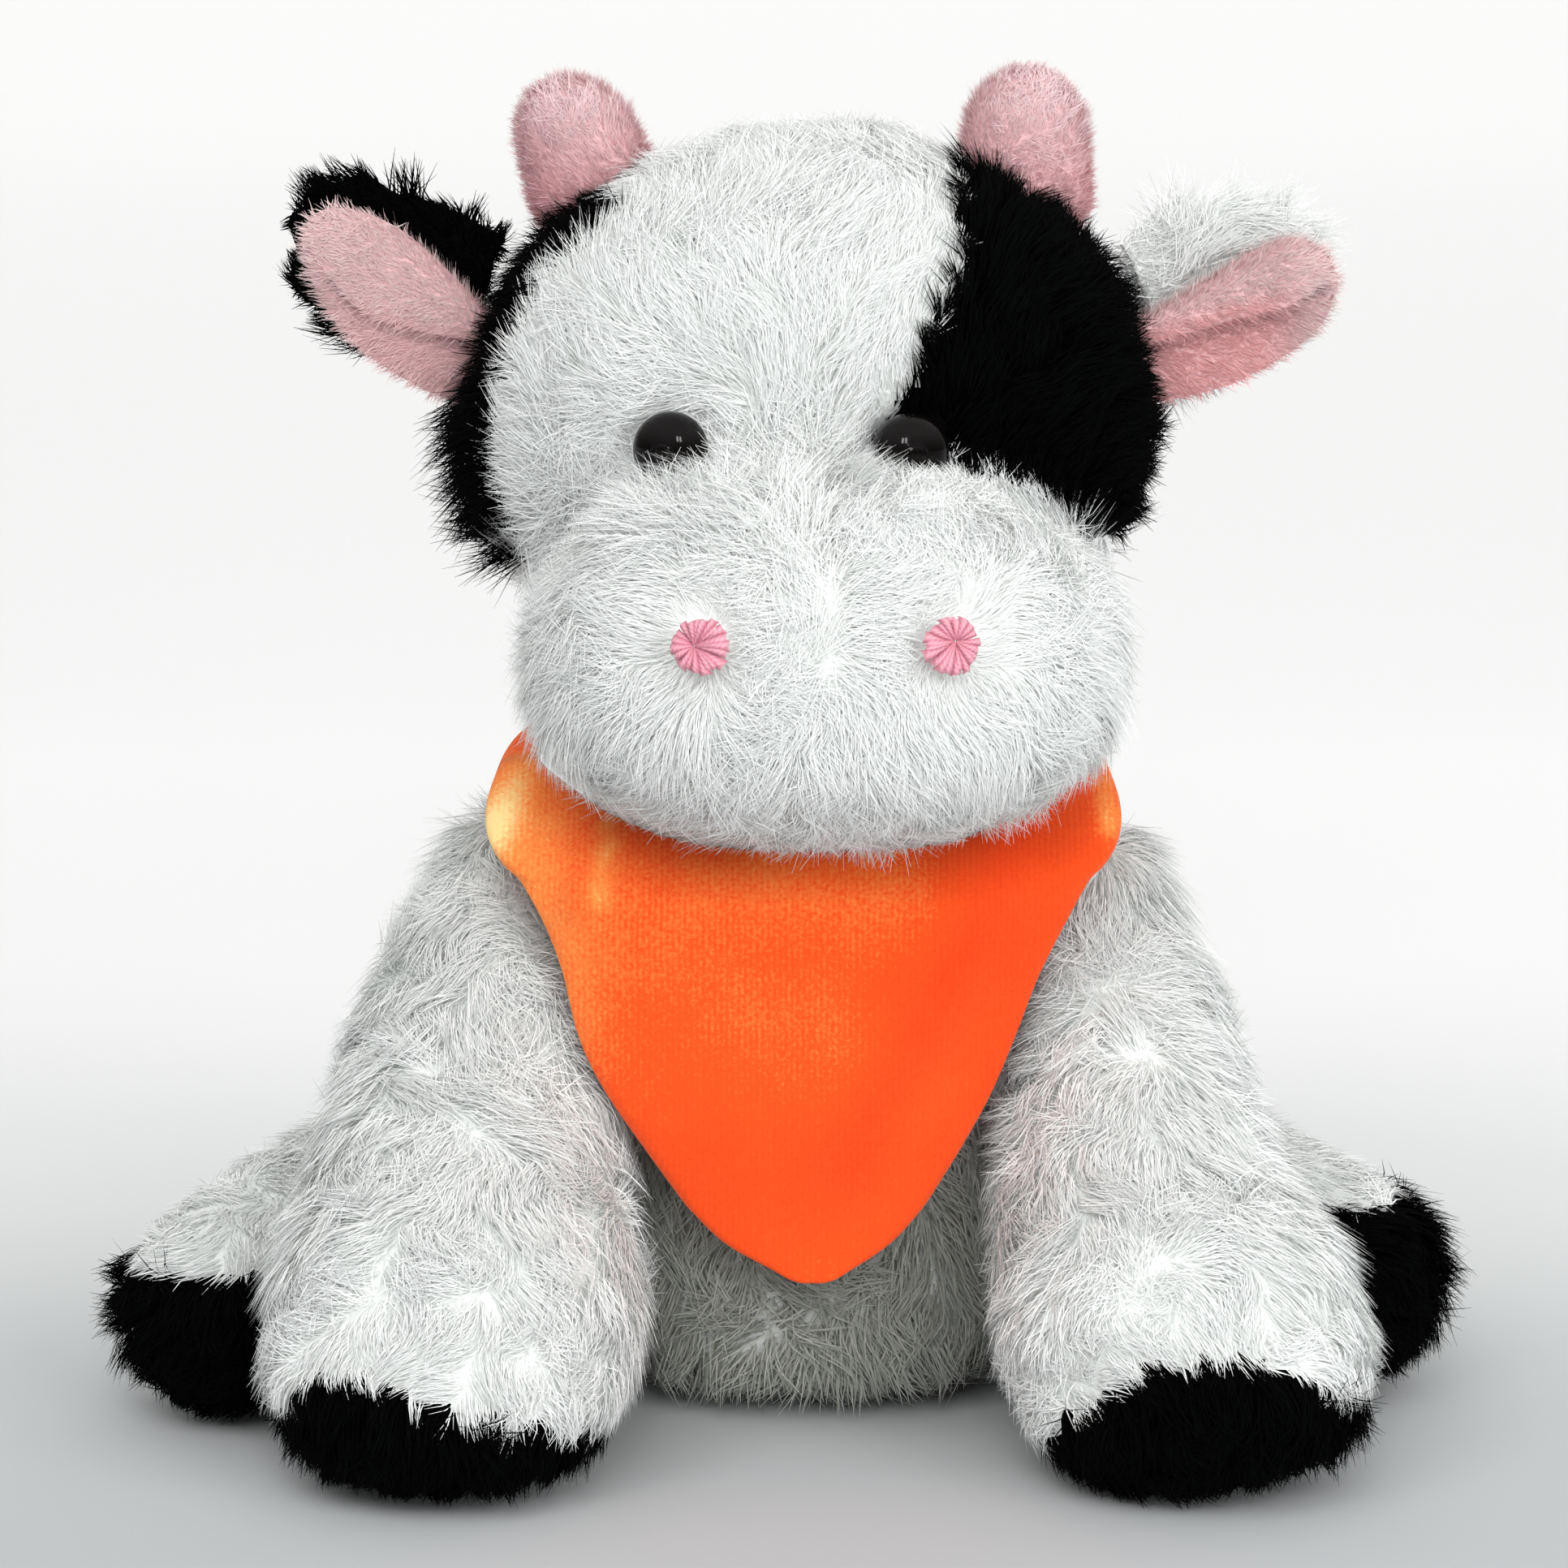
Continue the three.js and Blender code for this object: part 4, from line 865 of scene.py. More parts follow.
# Height of each hoof's upper seam over the toy's X, and how far its front is drawn back
HOOF_SEAMS = {
    "front_leg_left": ([33, 39, 50, 66, 78, 88, 92], [-9, 12, 22, 24, 19, 10, 2]),
    "front_leg_right": ([-86, -80, -70, -50, -33, -29], [0, 18, 21, 15, 9, 4]),
    "hind_leg_left": ([60, 100], [30, 30]),
    "hind_leg_right": ([-100, -60], [24, 26]),
}
HOOF_DRAWN = {"front_leg_left": 3.2, "front_leg_right": 1.6, "hind_leg_left": 0, "hind_leg_right": 0}


def make_legs():
    for side, sign in (("left", 1), ("right", -1)):
        beside = border_field(toy_points(NODES[f"front_hoof_{side}"].data))
        for kind, comb, white in (
            ("front", away_from(sign * 35, 10, 120, 0.3), WHITE),
            ("hind", away_from(sign * 20, 40, 40, 0.15), HIND),
        ):
            leg = f"{kind}_leg_{side}"
            cover, hoof_node, stuffing = (f"{kind}_{part}_{side}" for part in ("leg_cover", "hoof", "leg_stuffing"))
            skin = soft_skin([stuffing], 0.0022, 8, 0.0004)
            points = points_of(skin)
            points[:, 1] += HOOF_DRAWN[leg] * MM * (1 - smooth_step((points[:, 2] - ORIGIN[2]) / MM, 6, 26))
            centres = (face_centres(skin) - ORIGIN) / MM
            hoof = centres[:, 2] < np.interp(centres[:, 0], *HOOF_SEAMS[leg])
            if kind == "hind":
                hoof &= nearest_node(face_centres(skin), (cover, hoof_node), HOOF_REACH) == 1
            set_points(skin, points)
            seam = toy_points(NODES[hoof_node].data).mean(axis=0)

            def clear(points, normals):
                return points[:, 2] > FLOOR + 2.5

            def short_at_hoof(points, seam=seam):
                return 0.55 + 0.45 * smooth_step(np.linalg.norm(points - seam, axis=1), 24, 42)

            def short_at_floor(points, kind=kind, beside=beside):
                """Short underneath, and on a hind hoof beside the front one."""
                size = 0.5 + 0.5 * smooth_step(points[:, 2], 2, 12)
                return size if kind == "front" else size * (1 - 0.7 * beside(points, 22)[1][:, 0])

            sew(f"{kind}_leg_pile_{side}", skin, leg, [cover, stuffing], LEG_FILL, "white", comb, ~hoof,
                cover=clear, pile=short_at_hoof, seed=31, **white)
            sew(f"{kind}_hoof_pile_{side}", skin, leg, [hoof_node], LEG_FILL, "black", comb, hoof,
                cover=clear, pile=short_at_floor, seed=32, **BLACK)
            bpy.data.meshes.remove(skin)


def make_tail():
    for node, colours, values in (("tail", "white", WHITE), ("tail_tuft", "black", BLACK)):
        skin = soft_skin([node], 0.0012, 6, -0.0022)
        sew(f"{node}_pile", skin, "tail", [node], TAIL_FILL, colours, away_from(0, 40, 50, 0.3), seed=51, **values)


# ---------------------------------------------------------------- horns and ears


def make_horns():
    for side, sign in (("left", 1), ("right", -1)):
        skin = soft_skin([f"horn_stuffing_{side}"], 0.0011, 8, 0.0026)
        if side == "right":
            points = points_of(skin)
            lean = smooth_step((points[:, 2] - ORIGIN[2]) / MM, 190, 216) * MM
            points -= np.outer(lean, (2.2, 0, 1.7))
            set_points(skin, points)
        sew(f"horn_pile_{side}", skin, "head", [f"horn_cover_{side}", f"horn_stuffing_{side}"], HORN_FILL, "horn",
            away_from(sign * 20, 22, 170, 0.0), seed=61, cover=lambda points, normals: points[:, 2] > 184,
            blush=lambda points: 0.8 * (1 - smooth_step(points[:, 2], 190, 210)), **PINK)


# Outline of each ear's lining seen from the front: its top edge, the crease and its low edge, root to tip
LINING_EDGES = {
    "left": (
        [(51, 174.2), (57, 177.8), (63.2, 181.8), (71, 186.8), (77, 188.6), (81.9, 186.3), (83.8, 181.6)],
        [(51, 174), (57, 175.8), (64, 178), (70.5, 179.8), (76, 181), (80.5, 181.9), (83.8, 181.6)],
        [(51, 161), (57.5, 162.2), (66.5, 164.6), (74, 168.6), (78.6, 172), (82, 176), (83.8, 181.6)],
    ),
    "right": (
        [(-50.5, 174.6), (-56, 180.6), (-61, 185.8), (-66.5, 190.3), (-73.5, 193.2), (-79, 192.6), (-81.4, 188.5)],
        [(-50.8, 173.4), (-54.6, 174.2), (-60, 175.2), (-66, 176.8), (-71.5, 178.8), (-76.5, 182.6), (-81.4, 188.5)],
        [(-54.5, 160.8), (-58.5, 162.2), (-63, 164.4), (-69, 168.2), (-74.6, 173.4), (-79, 180), (-81.4, 188.5)],
    ),
}
LINING_STEPS = 60
LINING_ROWS = 22


def smooth_path(points, count):
    """A smooth line through a short list of points."""
    points = np.array(points, float)
    padded = np.vstack([2 * points[0] - points[1], points, 2 * points[-1] - points[-2]])
    shares = np.linspace(0, len(points) - 1, count)
    index = np.minimum(shares.astype(int), len(points) - 2)
    t = (shares - index)[:, None]
    a, b, c, d = (padded[index + k] for k in range(4))
    return 0.5 * (2 * b + (c - a) * t + (2 * a - 5 * b + 4 * c - d) * t**2 + (3 * b - a - 3 * c + d) * t**3)


def grid_mesh(name, grid):
    """A mesh of quads over rows of points."""
    rows, columns = grid.shape[:2]
    faces = [
        (i * columns + j, i * columns + j + 1, (i + 1) * columns + j + 1, (i + 1) * columns + j)
        for i in range(rows - 1) for j in range(columns - 1)
    ]
    mesh = bpy.data.meshes.new(name)
    mesh.from_pydata(grid.reshape(-1, 3).tolist(), [], faces)
    mesh.shade_smooth()
    return mesh


def lining_mesh(side):
    """A soft leaf folded along a crease, its upper lip lying over the lower half."""
    top, crease, low = (smooth_path(edge, LINING_STEPS) for edge in LINING_EDGES[side])
    share = np.linspace(0, 1, LINING_STEPS)
    rows = []
    tip = np.sqrt(np.clip((1 - share) / 0.12, 0, 1))
    fold = 1 - smooth_step(share, 0.62, 0.9)
    roll = 1.0 if side == "right" else 1.5
    for k in range(LINING_ROWS):
        t = k / (LINING_ROWS - 1)
        place = low * (1 - t) + crease * t
        depth = 1.2 + 2.2 * math.sin(math.pi * (0.12 + 0.5 * t)) - 3.8 * t**4 * fold
        rows.append(np.column_stack([place[:, 0], -5.2 - 6 * share - depth * tip, place[:, 1]]))
    for k in range(LINING_ROWS):
        t = k / (LINING_ROWS - 1)
        place = crease * (1 - t) + top * t
        droop = 2.2 * roll * (1 - t) ** 3 * fold
        lip = 3.2 * roll * math.sin(math.pi * (0.3 + 0.7 * t)) ** 0.6 if t < 1 else 0.0
        depth = 1.4 + lip * (0.35 + 0.65 * fold) + 1.2 * (1 - fold) * (1 - t)
        rows.append(np.column_stack([place[:, 0], -5.2 - 6 * share - depth * tip, place[:, 1] - droop]))
    grid = np.array([[at(*point) for point in row] for row in rows])
    return grid_mesh("lining", grid if side == "left" else grid[:, ::-1])


def make_ears():
    for side, sign in (("left", 1), ("right", -1)):
        colours, values = ("white", WHITE) if side == "left" else ("black", BLACK | {"Length": 0.0052})
        leaf = soft_skin([f"ear_outer_{side}"], 0.0013, 6, -0.0014)
        outline = np.vstack([LINING_EDGES[side][0], LINING_EDGES[side][2][::-1]])

        def cover(points, normals):
            inside = np.zeros(len(points), bool)
            for (x0, z0), (x1, z1) in zip(outline, np.roll(outline, -1, axis=0)):
                crosses = (z0 > points[:, 2]) != (z1 > points[:, 2])
                slope = (x1 - x0) * (points[:, 2] - z0) / np.where(z1 == z0, 1e-9, z1 - z0) + x0
                inside ^= crosses & (points[:, 0] < slope)
            return ~(inside & (normals[:, 1] < -0.3)) & (np.abs(points[:, 0]) > 46)

        low_edge = smooth_path(LINING_EDGES[side][2], 60)
        order = np.argsort(low_edge[:, 0])
        points = toy_points(leaf)
        bottom = np.interp(points[:, 0], low_edge[order, 0], low_edge[order, 1]) + 1.5
        deeper = points[:, 2] < bottom
        points[deeper, 2] = bottom[deeper] - 0.25 * (bottom - points[:, 2])[deeper]
        if side == "right":
            upper = smooth_step(points[:, 2], 176, 190)
            points[:, 2] += upper * np.interp(points[:, 0], [-79, -74, -66, -57, -49], [3.2, 2.2, -1.2, -1.2, 0.8])
            points[:, 0] -= 4 * np.exp(-((points[:, 2] - 181) / 5) ** 2) * smooth_step(-points[:, 0], 70, 78)
        set_toy_points(leaf, points)

        def short_below(points, edge=low_edge[order]):
            over = points[:, 2] - np.interp(points[:, 0], edge[:, 0], edge[:, 1])
            tufts = 1.3 * np.exp(-((points[:, 0] + 73) / 3.5) ** 2) + 0.8 * np.exp(-((points[:, 0] - 58) / 2.5) ** 2)
            size = 0.4 + 0.6 * smooth_step(over, 2, 14) + tufts * (1 - smooth_step(over, 0, 6))
            return size * (0.45 + 0.55 * smooth_step(np.abs(points[:, 0]), 50, 60))

        comb = away_from(sign * 30, 0, 168, 0.0)
        sew(f"ear_pile_{side}", leaf, f"ear_{side}", [f"ear_outer_{side}"], EAR_FILL, colours, comb,
            cover=cover, pile=short_below, seed=71, **values)
        crease = smooth_path(LINING_EDGES[side][1], 60)
        order = np.argsort(crease[:, 0])

        def inside(points, edge=crease[order]):
            """Pinker under the fold, paler on its rim and at the tip."""
            under = np.interp(points[:, 0], edge[:, 0], edge[:, 1]) - points[:, 2]
            deep = 0.8 if points[0, 0] > 0 else 0.3
            return deep * smooth_step(under, -1, 2) * (1 - smooth_step(np.abs(points[:, 0]), 70, 80))

        sew(f"ear_lining_pile_{side}", lining_mesh(side), f"ear_{side}", [f"ear_lining_{side}"], EAR_FILL, "pink", comb,
            blush=inside, seed=81, **PINK)


# ---------------------------------------------------------------- eyes and nostrils

SKULL = ((0, -5, 160), (56.5, 45, 47), 2)
MUZZLE_FORM = ((1.8, -42, 127), (47, 44, 30), 2.5)


def front_of(form, x, z):
    """The place on a rounded form's front over a point of the XZ plane, with its outward direction."""
    centre, half, power = form
    rest = 1 - abs((x - centre[0]) / half[0]) ** power - abs((z - centre[2]) / half[2]) ** power
    y = -half[1] * rest ** (1 / power)
    offset = np.array([x - centre[0], y, z - centre[2]])
    normal = np.sign(offset) * np.abs(offset / half) ** (power - 1) / half
    return np.array([x, centre[1] + y, z]), unit(normal)


def stand_on(obj, form, x, z, lift=0.0):
    """Turns a piece made about the origin along +Z to stand on a form, and applies its place."""
    point, normal = front_of(form, x, z)
    turn = Vector(normal).to_track_quat("Z", "Y").to_matrix().to_4x4()
    turn.translation = at(*(point + normal * lift))
    obj.data.transform(turn)
    return obj


def turned_mesh(name, profile, steps):
    """A turned form from radius and height pairs in millimetres, from its rim to its pole."""
    vertices, faces = [], []
    for radius, height in profile[:-1]:
        for j in range(steps):
            angle = 2 * math.pi * j / steps
            vertices.append((radius * math.cos(angle) * MM, radius * math.sin(angle) * MM, height * MM))
    vertices.append((0, 0, profile[-1][1] * MM))
    for i in range(len(profile) - 2):
        for j in range(steps):
            k = (j + 1) % steps
            faces.append((i * steps + j, i * steps + k, (i + 1) * steps + k, (i + 1) * steps + j))
    base = (len(profile) - 2) * steps
    faces += [(base + j, base + (j + 1) % steps, len(vertices) - 1) for j in range(steps)]
    mesh = bpy.data.meshes.new(name)
    mesh.from_pydata(vertices, [], faces)
    mesh.shade_smooth()
    return mesh


EYE_RADIUS = 6
EYE_BULGE = 4
EYE_RING = 1.7


def make_eyes():
    material, graph, shader = new_material("eye_gloss", {"Specular IOR Level": 0.22})
    cloud = graph.noise(graph.place(), 900.0, 2.0)
    graph.feed(shader.inputs["Base Color"], graph.mix(cloud, colour(5, 4, 4), colour(12, 8, 7)))
    graph.feed(shader.inputs["Roughness"], graph.ramp(cloud, 0.0, 1.0, 0.05, 0.11, "LINEAR"))
    profile = [(EYE_RADIUS - 0.5, -0.6), (EYE_RADIUS, -0.2), (EYE_RADIUS + 0.05, 0.3), (EYE_RADIUS, 0.8)]
    for i in range(1, 18):
        angle = math.pi / 2 * i / 18
        profile.append((EYE_RADIUS * math.cos(angle), 0.8 + EYE_BULGE * math.sin(angle)))
    # A fine ring is moulded round the middle of the dome
    top = [(r, h) for r, h in profile if r > EYE_RING + 0.3]
    rise = 0.8 + EYE_BULGE
    ring = [(EYE_RING + 0.18, rise - 0.18), (EYE_RING, rise - 0.3), (EYE_RING - 0.18, rise - 0.13),
            (0.8, rise - 0.04), (0, rise)]
    for side, sign in (("left", 1), ("right", -1)):
        mesh = turned_mesh(f"eye_dome_{side}", top + ring, 48)
        mesh.materials.append(material)
        eye = stand_on(linked(f"eye_dome_{side}", mesh), SKULL, sign * EYE_SPREAD + EYE_SHIFT, EYE_HEIGHT, -0.5)
        finish_pieces([eye], "head", [f"eye_{side}", f"eye_washer_{side}"])


NOSTRIL_INPUTS = {"Stitches": 22, "Radius": 0.0044, "Rise": 0.0012, "Yarn": 0.0016, "Twist": 0.0008}
STITCH_SOCKETS = {name: "Int" if name == "Stitches" else "Float" for name in NOSTRIL_INPUTS} | {"Material": "Material"}


def stitch_tree():
    """Satin stitches that run from a round rim to a twisted middle."""
    tree, g, given = node_group("satin_stitch", "GeometryNodeTree", STITCH_SOCKETS, "Geometry")
    strip = g.add("GeometryNodeMeshGrid", {"Size X": 1.0, "Size Y": 1.0, "Vertices X": 7, "Vertices Y": 14})
    across, y, _ = g.split(g.out("Position", "GeometryNodeInputPosition"))
    along = y + 0.5
    marked = g.stored(g.stored(strip.outputs["Mesh"], "along", along), "tone", across + 0.5)
    reach = given["Radius"] - along * 0.96 * given["Radius"]
    width = given["Yarn"] * (1.0 - along * 0.72)
    arch = g.math("SINE", along ** 0.55 * 2.6)
    crown = g.math("SQRT", g.math("MAXIMUM", 1.0 - across * across * 4.0, 0.0))
    shaped = g.join(reach, across * width, arch * given["Rise"] + crown * (width * 0.5))
    stitch = g.step("GeometryNodeSetPosition", marked, {"Position": shaped})
    ring = g.add("GeometryNodeMeshCircle", {"Vertices": given["Stitches"], "Radius": 1.0})
    x, y, _ = g.split(g.out("Position", "GeometryNodeInputPosition"))
    turn = g.join(z=g.math("ARCTAN2", y, x) + g.random(-0.13, 0.13))
    turned = g.stored(ring.outputs["Mesh"], "turn", turn, "FLOAT_VECTOR")
    middle = g.step("GeometryNodeSetPosition", turned, {"Position": turn * 0.0})
    many = g.step("GeometryNodeInstanceOnPoints", middle, {
        "Instance": stitch,
        "Rotation": g.out("Rotation", "FunctionNodeEulerToRotation", {"Euler": g.named("turn", "FLOAT_VECTOR")}),
        "Scale": g.random((0.86, 0.8, 0.6), (1.06, 1.25, 1.4), kind="FLOAT_VECTOR"),
    }, "Points", "Instances")
    real = g.step("GeometryNodeRealizeInstances", many)
    # The middle is pulled aside and round, as hand stitches leave it
    inner = g.named("along")
    aside = g.join(inner * inner * given["Twist"], inner * inner * (given["Twist"] * 0.6))
    place = g.out("Position", "GeometryNodeInputPosition") + aside
    pulled = g.step("GeometryNodeSetPosition", real, {"Position": place})
    coloured = g.step("GeometryNodeSetMaterial", pulled, {"Material": given["Material"]})
    g.add("NodeGroupOutput", {"Geometry": g.step("GeometryNodeSetShadeSmooth", coloured)})
    return tree


def yarn_material():
    """Two-ply embroidery yarn: fine slanting plies along each stitch."""
    material, graph, shader = new_material("pink_yarn", {"Roughness": 0.6, "Sheen Weight": 0.2})
    along, across = graph.seen("along"), graph.seen("tone")
    ply = graph.math("SINE", along * 34.0 + across * 9.0) * 0.5 + 0.5
    # Painted shade: each stitch is darker along its sides and towards the sunk middle; the slanting plies are the
    # yarn's own stripes
    shade = (1.0 - graph.math("ABSOLUTE", across - 0.5) * 1.5) * (ply * 0.3 + 0.7) * (1.0 - along * along * 0.45)
    graph.feed(shader.inputs["Base Color"], graph.mix(shade, colour(162, 72, 94), colour(242, 172, 186)))
    graph.bump(shader, ply, 0.5, 0.00012)
    return material


def make_nostrils():
    tree, settings = stitch_tree(), NOSTRIL_INPUTS | {"Material": yarn_material()}
    for side, sign, spin in (("left", 1, 0.4), ("right", -1, 2.6)):
        name = f"nostril_stitches_{side}"
        mesh = made_by(tree, linked("growing", bpy.data.meshes.new("growing")), name, settings)
        mesh.transform(Matrix.Rotation(spin, 4, "Z"))
        nostril = stand_on(linked(name, mesh), MUZZLE_FORM, NOSE[0] + sign * NOSTRIL_SPREAD, NOSE[1], 0.2)
        finish_pieces([nostril], "head", [f"nostril_{side}"])


# ---------------------------------------------------------------- bandana

# Edges of the cloth's band from its front round the toy's left to its back, as places in millimetres
BAND_HIGH = [(0, -42.5, 95.5), (24, -36, 96.6), (42.5, -23, 105), (41.5, -12.5, 107.2),
             (39, 0, 109), (30.5, 23, 109.6), (15, 35.5, 109), (0, 38, 108.6)]
BAND_MID = [(0, -44.7, 91.8), (26.7, -41.5, 92.3), (49.5, -35.5, 98), (48.6, -16.5, 106),
            (43.4, 0, 108), (33, 25.5, 104.6), (16.5, 38.4, 103.6), (0, 41, 103.2)]
BAND_LOW = [(0, -46, 88), (28.5, -45.4, 88.2), (46.6, -39.5, 91), (50.6, -24, 99.6),
            (45, 0, 104.6), (34, 25.5, 99.8), (16.6, 40, 98), (0, 42.2, 97.6)]
BAND_COLUMNS = 14 * 12
BAND_ROWS = 13
FLAP_ROWS = 44
FLAP_CORNER = 24
FLAP_WIDTHS = [1, 0.9, 0.8, 0.715, 0.62, 0.505, 0.385, 0.28, 0.1]
FLAP_DROPS = [0, 0.14, 0.28, 0.43, 0.58, 0.72, 0.86, 0.94, 1]
FLAP_DROP = 59.3
FLAP_LEAN = 7
RIB_PITCH = 0.93
CLOTH_THICKNESS = 0.0011


def band_edge(half):
    """A closed smooth line from half of it, from the front round the toy's left and back by its right."""
    loop = half + [(-x, y, z) for x, y, z in half[-2:0:-1]]
    padded = np.array(loop[-2:] + loop + loop[:3], float)
    line = smooth_path(padded, (len(padded) - 1) * 12 + 1)
    return line[24:24 + BAND_COLUMNS]


def ridge(points, start, end, width, height):
    """A soft fold that runs between two places seen from the front."""
    start, end = np.array(start, float), np.array(end, float)
    flat = points[..., (0, 2)]
    t = np.clip(((flat - start) @ (end - start)) / np.sum((end - start) ** 2), 0, 1)
    off = np.linalg.norm(flat - (start + t[..., None] * (end - start)), axis=-1)
    return height * np.exp(-((off / width) ** 2))


def cloth_material():
    """Fleece with fine ribs: a brushed surface whose ribs follow the cloth's own map."""
    material, graph, shader = new_material("orange_cloth", {
        "Roughness": 0.85, "Specular IOR Level": 0.2,
        "Sheen Weight": 0.35, "Sheen Roughness": 0.45, "Sheen Tint": (1.0, 0.72, 0.45, 1.0)})
    x = graph.split(graph.out("UV", "ShaderNodeUVMap", uv_map="cloth"))[0]
    where = graph.place()
    phase = graph.noise(where, 160.0, 3.0) * 0.5 + x / RIB_PITCH
    rib = graph.math("SINE", phase * (2 * math.pi)) * 0.5 + 0.5
    nap = graph.noise(where, 1500.0, 4.0, Roughness=0.7)
    blotch = graph.noise(where, 45.0, 3.0)
    # The mesh's stored tone adds painted highlights and painted shade; the nap, the ribs and the blotches are the
    # fleece's own, and the ramp's cream end shows mostly where painted highlights lift the tone
    tone = graph.seen("painted_shading") + (nap * 0.92 + rib * 0.08 - 0.5) * 1.1 + (blotch - 0.5) * 0.5
    ramp = graph.add("ShaderNodeValToRGB", {"Fac": tone * 0.5 + 0.5})
    stops = ((0.0, (222, 44, 8)), (0.5, (247, 82, 26)), (0.75, (255, 146, 70)), (1.0, (255, 222, 150)))
    while len(ramp.color_ramp.elements) < len(stops):
        ramp.color_ramp.elements.new(0.5)
    for element, (place, tint) in zip(ramp.color_ramp.elements, stops):
        element.position = place
        element.color = colour(*tint)
    graph.feed(shader.inputs["Base Color"], ramp.outputs["Color"])
    graph.bump(shader, nap * 0.75 + rib * 0.25, 0.55, 0.0003)
    return material


def make_flap(low, columns):
    """The rows of the flap that hang from some columns of the band's low edge."""
    first = low[columns]
    corner = first[0, 0]
    out = first[:, 0] / corner
    widths = smooth_path([(w,) for w in FLAP_WIDTHS], 200)[:, 0]
    steps = np.linspace(0, 1, FLAP_ROWS + 1)[1:]
    shares = np.interp(steps, FLAP_DROPS, np.linspace(0, 1, len(FLAP_DROPS)))
    rows = []
    for drop, share in zip(steps, shares):
        width = np.interp(share, np.linspace(0, 1, 200), widths)
        z = first[:, 2] - FLAP_DROP * drop * (1 - 0.06 * (out * width) ** 2 + 0.016 * (1 - out**2))
        y = first[:, 1] * (1 - drop * 0.6) + (-46 + 4 * (out * width) ** 2) * drop * 0.6 - FLAP_LEAN * drop
        rows.append(np.column_stack([out * corner * width, y, z]))
    return np.array(rows)


def cloth_faces(columns):
    """Quads of the closed band, then of the flap below its columns."""
    faces = []
    for i in range(0, (BAND_ROWS - 1) * BAND_COLUMNS, BAND_COLUMNS):
        for j in range(BAND_COLUMNS):
            k = (j + 1) % BAND_COLUMNS
            faces.append((i + k, i + j, i + BAND_COLUMNS + j, i + BAND_COLUMNS + k))
    upper = [(BAND_ROWS - 1) * BAND_COLUMNS + j for j in columns]
    for i in range(FLAP_ROWS):
        start = BAND_ROWS * BAND_COLUMNS + i * len(columns)
        lower = list(range(start, start + len(columns)))
        faces += [(upper[j], upper[j + 1], lower[j + 1], lower[j]) for j in range(len(columns) - 1)]
        upper = lower
    return faces


# Folds seen on the front: a short one by the toy's right corner and a broad one from its left shoulder
FOLDS = (((-32.5, 101), (-37, 87), 2.6, 1.4), ((26, 96), (5, 48), 9, 2.4))
HOLLOWS = (((-41, 100), (-42, 90), 3.5, 1.2), ((37, 90), (24, 62), 8, 1.4))


def fold_cloth(vertices, facing):
    folds, hollows = (sum(ridge(vertices, *line) for line in lines) for lines in (FOLDS, HOLLOWS))
    vertices[:, 1] -= (folds - hollows) * facing
    vertices[:, 0] *= 1 - 0.055 * smooth_step(vertices[:, 0], 18, 44)
    vertices[:, 0] *= 1 + 0.13 * smooth_step(-vertices[:, 0], 2, 12) * smooth_step(-vertices[:, 2], -86, -60)


def cloth_painted_shading(vertices):
    """Painted highlights on both corners, on the fold by the toy's right corner, on the toy's right side and along the
    top; painted shade on the toy's left side, in the broad fold and beside the short fold; and darker towards the
    bottom.
    """
    x, z = vertices[:, 0], vertices[:, 2]
    painted_shading = 0.02 - 0.3 * smooth_step(x, 8, 34) - 0.2 * smooth_step(-z, -72, -42)
    painted_shading += ridge(vertices, (-43, 112), (-51, 97), 3.2, 0.8) + ridge(vertices, (-31.9, 100), (-33.5, 88), 1.2, 0.4)
    painted_shading += 0.3 * smooth_step(-x, 28, 44)
    painted_shading += ridge(vertices, (46.5, 106), (47, 98), 2, 0.7) + 0.12 * smooth_step(z, 78, 92)
    painted_shading -= ridge(vertices, (31, 96), (6, 48), 5, 0.3) + ridge(vertices, (-36, 97), (-38, 88), 3, 0.15)
    return painted_shading


def map_cloth(mesh, places):
    """Gives each corner its place on the cloth, in millimetres."""
    layer = mesh.uv_layers.new(name="cloth")
    for loop in mesh.loops:
        layer.data[loop.index].uv = places[loop.vertex_index]


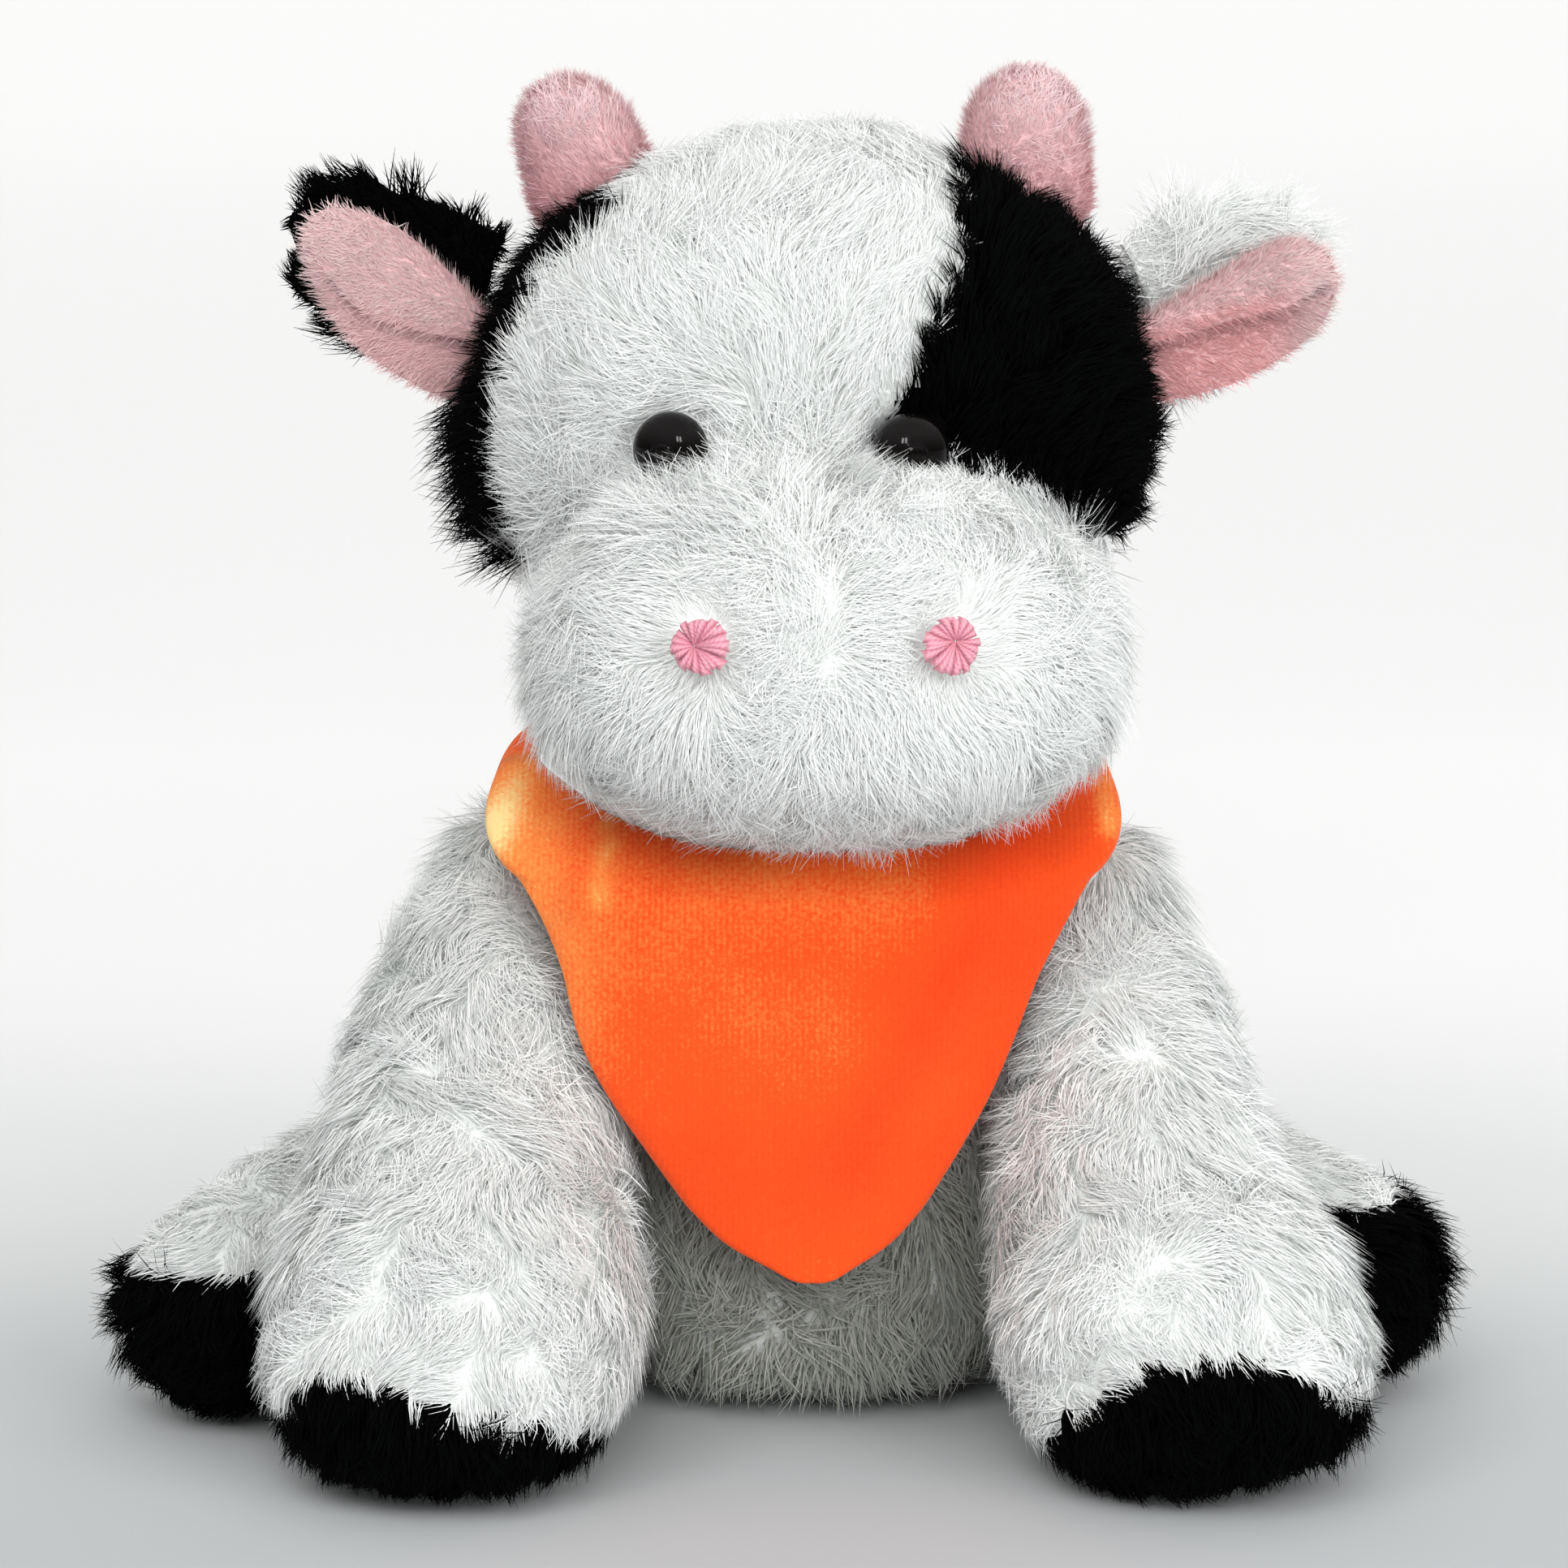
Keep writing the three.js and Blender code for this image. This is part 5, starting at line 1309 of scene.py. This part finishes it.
def make_bandana():
    high, mid, low = band_edge(BAND_HIGH), band_edge(BAND_MID), band_edge(BAND_LOW)
    bend = 2 * mid - (high + low) / 2
    share = np.linspace(0, 1, BAND_ROWS)[:, None, None]
    band = high * (1 - share) ** 2 + 2 * bend * share * (1 - share) + low * share**2
    columns = [*range(FLAP_CORNER, -1, -1), *range(BAND_COLUMNS - 1, BAND_COLUMNS - 1 - FLAP_CORNER, -1)]
    vertices = np.concatenate([band.reshape(-1, 3), make_flap(low, columns).reshape(-1, 3)])
    facing = np.clip((-vertices[:, 1] - 15) / 20, 0, 1)
    fold_cloth(vertices, facing)
    mesh = bpy.data.meshes.new("bandana")
    mesh.from_pydata([at(*point) for point in vertices], [], cloth_faces(columns))
    # Painted highlights and painted shade on the front of the cloth
    store(mesh, "painted_shading", cloth_painted_shading(vertices) * facing)
    around = np.arange(BAND_COLUMNS) * 2 * math.pi * 42 / BAND_COLUMNS
    map_cloth(mesh, [(x if y < -20 else around[i % BAND_COLUMNS], z) for i, (x, y, z) in enumerate(vertices)])
    obj = linked("bandana", mesh)
    solid = obj.modifiers.new("cloth", "SOLIDIFY")
    solid.thickness = CLOTH_THICKNESS
    solid.offset = 0
    smooth = obj.modifiers.new("soft", "SUBSURF")
    smooth.levels = smooth.render_levels = 1
    mesh = evaluated(obj, "bandana")
    knot = soft_skin(["bandana_knot"], 0.0012, 6, -0.0003)
    points = toy_points(knot)
    crease = 0.5 * np.sin(points[:, 0] * 1.3 + points[:, 2] * 0.5) * np.exp(-((points[:, 0] / 14) ** 2))
    set_points(knot, points_of(knot) + normals_of(knot) * crease[:, None] * MM)
    map_cloth(knot, points[:, [0, 2]])
    for piece in (mesh, knot):
        piece.shade_smooth()
        piece.materials.clear()
        piece.materials.append(CLOTH)
    cloth = linked("bandana", mesh)
    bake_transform(cloth)
    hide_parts("bandana_collar", "bandana_flap")
    knot_piece = linked("bandana_tied_knot", knot)
    finish_pieces([knot_piece], "torso", ["bandana_knot"])


CLOTH = cloth_material()

bpy.context.scene.view_settings.view_transform = "Standard"
make_camera()
make_stage()
make_light()
make_head()
make_torso()
make_legs()
make_tail()
make_horns()
make_ears()
make_eyes()
make_nostrils()
make_bandana()
